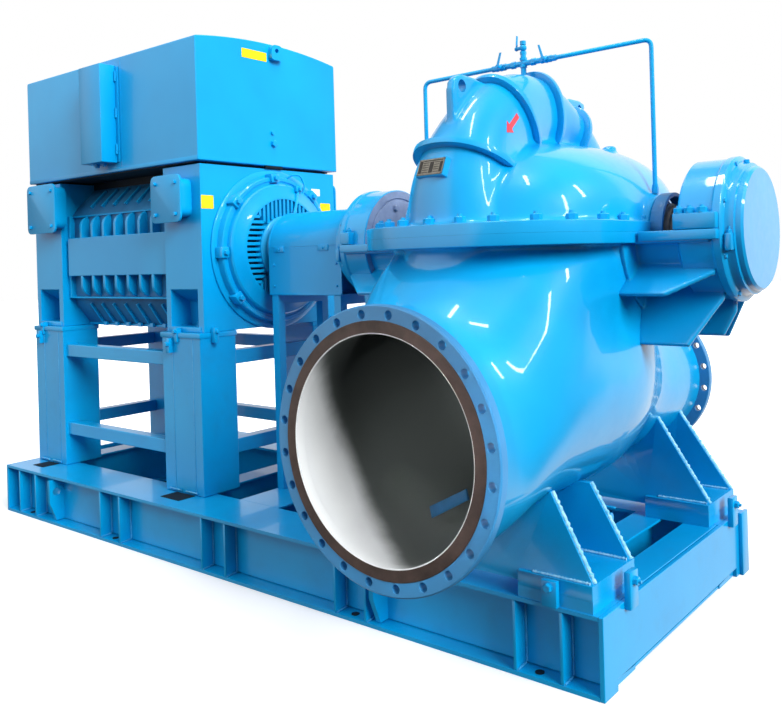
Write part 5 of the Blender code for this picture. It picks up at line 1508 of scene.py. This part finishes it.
def studio_floor():
    """Pale floor that glows a little, and a dark sheet under the base frame as painted shadow."""
    mat, tree, surface = new_material("studio_floor")
    place = add_node(tree, "ShaderNodeTexCoord").outputs["Object"]
    haze = add_node(tree, "ShaderNodeTexNoise", {"Scale": 0.6, "Detail": 2.0}, {"Vector": place})
    tone = add_node(tree, "ShaderNodeMix", {"data_type": 'RGBA', 6: colour("#F4F5F6"), 7: colour("#EEF0F2")},
                    {0: haze.outputs["Fac"]})
    tree.links.new(tone.outputs[2], surface.inputs["Base Color"])
    surface.inputs["Roughness"].default_value = 0.6
    # The glow grows away from the set, so that the floor reads as white as the backdrop.
    away = add_node(tree, "ShaderNodeVectorMath", {"operation": 'LENGTH'}, {0: place})
    glow = add_node(tree, "ShaderNodeMapRange",
                    {"interpolation_type": 'SMOOTHSTEP', "From Min": 2.2, "From Max": 4.5, "To Min": 0.30,
                     "To Max": 0.85}, {"Value": away.outputs["Value"]})
    surface.inputs["Emission Color"].default_value = colour("#FFFFFF")
    tree.links.new(glow.outputs[0], surface.inputs["Emission Strength"])
    bm = bmesh.new()
    bmesh.ops.create_grid(bm, x_segments=2, y_segments=2, size=40.0,
                          matrix=Matrix.Translation((0, 0, -0.001)))
    floor = stage_piece("floor", bm, mat)
    # It throws no light back up: the studio's own glow stands in for a dark hall floor.
    floor.visible_diffuse = floor.visible_glossy = False
    # Dark sheet under the base frame: painted shadow.
    bm = bmesh.new()
    add_box(bm, (-2.10, 2.10), (-0.72, 0.72), (-0.0005, 0.001))
    stage_piece("painted_shadow_under_base", bm, FINISH["painted_shade_black"])


def studio_backdrop(fill):
    """Dim all round and darker below, with a bright wall at the front left and a white backdrop behind."""
    world = bpy.data.worlds.new("studio")
    world.use_nodes = True
    tree = world.node_tree
    way = add_node(tree, "ShaderNodeTexCoord").outputs["Generated"]
    level = None
    for towards, low, high, least, most in (((0.0, 0.0, 1.0), -0.35, 0.25, fill * 0.25, fill),
                                            ((-0.57, -0.72, 0.40), 0.60, 0.90, 0.0, 1.05),
                                            ((-0.30, 0.954, 0.0), 0.50, 0.66, 0.0, 1.0)):
        side = add_node(tree, "ShaderNodeVectorMath", {"operation": 'DOT_PRODUCT', 1: towards}, {0: way})
        shade = add_node(tree, "ShaderNodeMapRange", {"interpolation_type": 'SMOOTHSTEP', "From Min": low,
                                                      "From Max": high, "To Min": least, "To Max": most},
                         {"Value": side.outputs["Value"]})
        if level:
            shade = add_node(tree, "ShaderNodeMath", {"operation": 'MAXIMUM'},
                             {0: level, 1: shade.outputs[0]})
        level = shade.outputs[0]
    tree.nodes["Background"].inputs[0].default_value = colour("#FFFFFF")
    tree.links.new(level, tree.nodes["Background"].inputs[1])
    bpy.context.scene.world = world


def place_lamp(data, at, target, glossy):
    """Lamp at a place, aimed at a target, seen in the gloss or not."""
    lamp = bpy.data.objects.new(data.name, data)
    lamp.visible_glossy = glossy
    bpy.context.scene.collection.objects.link(lamp)
    aim = (Vector(target) - Vector(at)).to_track_quat('-Z', 'Y')
    lamp.matrix_world = Matrix.Translation(at) @ aim.to_matrix().to_4x4()


def studio_lamps(key, power):
    """Soft sun and softboxes that light the set unseen, and narrow windows that show in its gloss."""
    sun = bpy.data.lights.new("key_sun", 'SUN')
    sun.energy = key
    sun.angle = math.radians(32)
    place_lamp(sun, (8.6, -1.6, 6.0), (0.0, 0.0, 1.2), False)
    # Place, target, size, share of the power, spread in degrees, and whether it shows in the gloss.
    lamps = (("top_softbox", (0.4, 0.2, 6.4), (0.3, 0.0, 1.0), (5.5, 3.5), 1.0, 180, False),
             ("front_softbox", (-1.0, -5.5, 4.5), (-0.5, 0.0, 1.6), (3.0, 2.0), 0.45, 180, False),
             ("bore_lamp", (3.3, -5.0, 1.5), (1.50, -0.85, 0.88), (0.4, 0.4), 0.012, 12, False),
             ("window_a", (5.6, -0.4, 3.7), (1.5, 0.0, 1.2), (0.22, 1.3), 0.18, 180, True),
             ("window_b", (5.2, 1.0, 4.4), (1.5, 0.0, 1.2), (0.22, 1.3), 0.18, 180, True),
             ("skylight_a", (2.9, -1.2, 6.2), (1.5, 0.0, 1.5), (0.26, 1.6), 0.26, 180, True),
             ("skylight_b", (0.9, -0.6, 6.2), (0.9, 0.0, 1.5), (0.26, 1.6), 0.26, 180, True))
    for name, at, target, size, share, spread, glossy in lamps:
        data = bpy.data.lights.new(name, 'AREA')
        data.energy = power * share
        data.shape = 'RECTANGLE'
        data.size, data.size_y = size
        data.spread = math.radians(spread)
        place_lamp(data, at, target, glossy)


def photo_camera():
    """Camera at the photograph's viewing angle."""
    data = bpy.data.cameras.new("photo_view")
    data.sensor_width = 36.0
    data.lens = 39.147
    data.shift_x, data.shift_y = -0.0390, -0.1245
    camera = bpy.data.objects.new("photo_view", data)
    bpy.context.scene.collection.objects.link(camera)
    at = (3.51452, -3.49080, 1.57932)
    right = (0.7875126, 0.6156387, -0.0285105)
    up = (0.0219824, 0.0181721, 0.9995932)
    back = (0.6159063, -0.7878190, 0.0007775)
    camera.matrix_world = Matrix([[right[i], up[i], back[i], at[i]] for i in range(3)] + [[0, 0, 0, 1]])
    bpy.context.scene.camera = camera
    bpy.context.scene.view_settings.view_transform = 'Standard'


# CAD nodes that keep their shape.

NODE_FINISH = {"impeller": "raw_casting", "pump_shaft": "shaft_steel", "motor_shaft": "shaft_steel",
               "coupling_motor": "shaft_steel", "coupling_pump": "shaft_steel", "cooler_box": "sheet_enamel",
               "terminal_box": "sheet_enamel", "motor_frame": "sheet_enamel", "drive_shield": "cast_enamel",
               "rear_shield": "cast_enamel", "guard_upper": "sheet_enamel", "guard_lower": "sheet_enamel",
               "flush_lever_free": "plate_enamel", "flush_lever_drive": "plate_enamel",
               "vent_lever": "plate_enamel", "bracket_free": "cast_enamel", "bracket_drive": "cast_enamel",
               "bearing_housing_free": "cast_enamel", "bearing_housing_drive": "cast_enamel",
               "gland_free": "cast_enamel", "gland_drive": "cast_enamel", "suction_flange": "cast_enamel",
               "discharge_flange": "cast_enamel"}


def paint_nodes():
    """Give each CAD node its finish; those that are replaced later keep it unseen."""
    for name, obj in frame["nodes"].items():
        finish = NODE_FINISH.get(name, "plate_enamel")
        if not obj.material_slots:
            obj.data.materials.append(None)
        for slot in obj.material_slots:
            slot.material = FINISH[finish]


# Add-on.

class PumpSetLook(bpy.types.PropertyGroup):
    """Colours of the set and strengths of its lights."""
    enamel: bpy.props.StringProperty(name="Enamel", description="Colour of the gloss enamel, as sRGB hex",
                                     default="#02A5E2")
    enamel_shade: bpy.props.StringProperty(name="Enamel shade",
                                           description="Colour where the coat lies thinner",
                                           default="#0299D8")
    # The flange colour is the enamel greyed as painted shade of the flanges' front faces.
    flange: bpy.props.StringProperty(name="Flange",
                                     description="Colour of the machined flange faces, as sRGB hex",
                                     default="#3D92CC")
    key: bpy.props.FloatProperty(name="Key light",
                                 description="Strength of the soft sun at the coupling's far end",
                                 default=4.0, min=0.0)
    lamps: bpy.props.FloatProperty(name="Lamps", description="Power of the top softbox; the others follow it",
                                   default=105.0, min=0.0, unit='POWER')
    fill: bpy.props.FloatProperty(name="Fill light", description="Strength of the studio's own glow",
                                  default=0.26, min=0.0)


class PumpSetSizes(bpy.types.PropertyGroup):
    """Sizes of small details that the CAD leaves plain."""
    joint_nut: bpy.props.FloatProperty(name="Joint nut",
                                       description="Width across flats of the case joint's nuts",
                                       default=0.040, min=0.010, max=0.060, unit='LENGTH')
    saddle_bead: bpy.props.FloatProperty(name="Saddle bead",
                                         description="Radius of the saddle plates' weld beads",
                                         default=0.0095, min=0.002, max=0.012, unit='LENGTH')
    plate_edge: bpy.props.FloatProperty(name="Plate edge",
                                        description="Width of the broken edges on welded plate",
                                        default=0.003, min=0.0, max=0.006, unit='LENGTH')
    channel_edge: bpy.props.FloatProperty(name="Channel edge",
                                          description="Radius of the stand's rolled channels", default=0.006,
                                          min=0.0, max=0.010, unit='LENGTH')


class PUMPSET_OT_paint(bpy.types.Operator):
    """Give every CAD node its finish"""
    bl_idname = "pumpset.paint"
    bl_label = "Paint Frame"

    def execute(self, context):
        FINISH.update(make_finishes(context.scene.pump_set_look))
        paint_nodes()
        return {'FINISHED'}


class PUMPSET_OT_case(bpy.types.Operator):
    """Cast the pump case halves and their joint"""
    bl_idname = "pumpset.case"
    bl_label = "Pump Case"

    def execute(self, context):
        upper_case()
        lower_case()
        joint_flanges()
        case_fasteners(context.scene.pump_set_sizes.joint_nut)
        return {'FINISHED'}


class PUMPSET_OT_flanges(bpy.types.Operator):
    """Drill the nozzle flanges and face them"""
    bl_idname = "pumpset.flanges"
    bl_label = "Nozzle Flanges"

    def execute(self, context):
        nozzle_flanges()
        return {'FINISHED'}


class PUMPSET_OT_bearings(bpy.types.Operator):
    """Cast the bearing brackets, housings and shaft seals"""
    bl_idname = "pumpset.bearings"
    bl_label = "Bearings and Seals"

    def execute(self, context):
        for tag, turn in (("free", 1), ("drive", -1)):
            bracket(tag, turn)
            bearing_housing(tag, turn)
            seal_area(tag, turn)
        return {'FINISHED'}


class PUMPSET_OT_base(bpy.types.Operator):
    """Weld up the base frame, the saddles and the drain line"""
    bl_idname = "pumpset.base"
    bl_label = "Base Frame"

    def execute(self, context):
        sizes = context.scene.pump_set_sizes
        for node in ("base_rail_front", "base_rail_rear", "base_end_pump", "base_end_motor"):
            softened(node, "plate_enamel", sizes.plate_edge)
        for node in ("saddle_front", "saddle_rear"):
            softened(node, "plate_enamel", sizes.plate_edge, merge=False)
        for tag in "abcdefg":
            softened("base_beam_" + tag, "plate_enamel", sizes.plate_edge)
        saddle_details(sizes.saddle_bead)
        rail_details()
        frame_openings()
        drain_line()
        return {'FINISHED'}


class PUMPSET_OT_motor(bpy.types.Operator):
    """Build the motor's frame, shields, covers and cooler"""
    bl_idname = "pumpset.motor"
    bl_label = "Motor"

    def execute(self, context):
        motor_sides()
        side_covers()
        drive_shield()
        drive_shield_fittings()
        rear_shield()
        cooler()
        terminal_box()
        labels()
        return {'FINISHED'}


class PUMPSET_OT_stand(bpy.types.Operator):
    """Weld up the motor's stand"""
    bl_idname = "pumpset.stand"
    bl_label = "Motor Stand"

    def execute(self, context):
        for node in ("stand_front", "stand_rear"):
            softened(node, "plate_enamel", context.scene.pump_set_sizes.channel_edge)
        for end in ("pump", "motor"):
            for level in ("high", "low"):
                softened("stand_tie_%s_%s" % (end, level), "plate_enamel", 0.004)
        stand_details()
        return {'FINISHED'}


class PUMPSET_OT_coupling(bpy.types.Operator):
    """Build the coupling and its guard"""
    bl_idname = "pumpset.coupling"
    bl_label = "Coupling and Guard"

    def execute(self, context):
        for node in ("guard_lower", "guard_legs_motor", "guard_legs_pump"):
            softened(node, "sheet_enamel", 0.0018)
        coupling_guard()
        coupling()
        return {'FINISHED'}


class PUMPSET_OT_flush(bpy.types.Operator):
    """Run the sealing water pipes and their cocks"""
    bl_idname = "pumpset.flush"
    bl_label = "Flush Line"

    def execute(self, context):
        flush_line()
        for node in ("flush_lever_free", "flush_lever_drive", "vent_lever"):
            softened(node, "plate_enamel", 0.0006)
        return {'FINISHED'}


class PUMPSET_OT_marks(bpy.types.Operator):
    """Rivet on the blank data plate and lay the direction arrow"""
    bl_idname = "pumpset.marks"
    bl_label = "Plate and Arrow"

    def execute(self, context):
        nameplate()
        direction_arrow()
        return {'FINISHED'}


class PUMPSET_OT_stage(bpy.types.Operator):
    """Set up the floor, the lights and the camera"""
    bl_idname = "pumpset.stage"
    bl_label = "Stage"

    def execute(self, context):
        look = context.scene.pump_set_look
        studio_floor()
        studio_backdrop(look.fill)
        studio_lamps(look.key, look.lamps)
        photo_camera()
        return {'FINISHED'}


OPERATORS = (PUMPSET_OT_paint, PUMPSET_OT_case, PUMPSET_OT_flanges, PUMPSET_OT_bearings, PUMPSET_OT_base,
             PUMPSET_OT_motor, PUMPSET_OT_stand, PUMPSET_OT_coupling, PUMPSET_OT_flush, PUMPSET_OT_marks,
             PUMPSET_OT_stage)


class PUMPSET_PT_panel(bpy.types.Panel):
    """Colours, lights, sizes and every step, in the sidebar."""
    bl_label = "Pump Set"
    bl_space_type = 'VIEW_3D'
    bl_region_type = 'UI'
    bl_category = "Pump Set"

    def draw(self, context):
        for group in (context.scene.pump_set_look, context.scene.pump_set_sizes):
            for name in group.__annotations__:
                self.layout.prop(group, name)
        for operator in OPERATORS:
            self.layout.operator(operator.bl_idname)


CLASSES = (PumpSetLook, PumpSetSizes, *OPERATORS, PUMPSET_PT_panel)


def register():
    """Add the classes and their settings."""
    for item in CLASSES:
        bpy.utils.register_class(item)
    bpy.types.Scene.pump_set_look = bpy.props.PointerProperty(type=PumpSetLook)
    bpy.types.Scene.pump_set_sizes = bpy.props.PointerProperty(type=PumpSetSizes)


def unregister():
    """Take the classes and their settings away again."""
    del bpy.types.Scene.pump_set_sizes
    del bpy.types.Scene.pump_set_look
    for item in reversed(CLASSES):
        bpy.utils.unregister_class(item)


def main():
    """Run every step in order."""
    register()
    for operator in OPERATORS:
        group, name = operator.bl_idname.split(".")
        getattr(getattr(bpy.ops, group), name)()


if __name__ == "__main__":
    main()
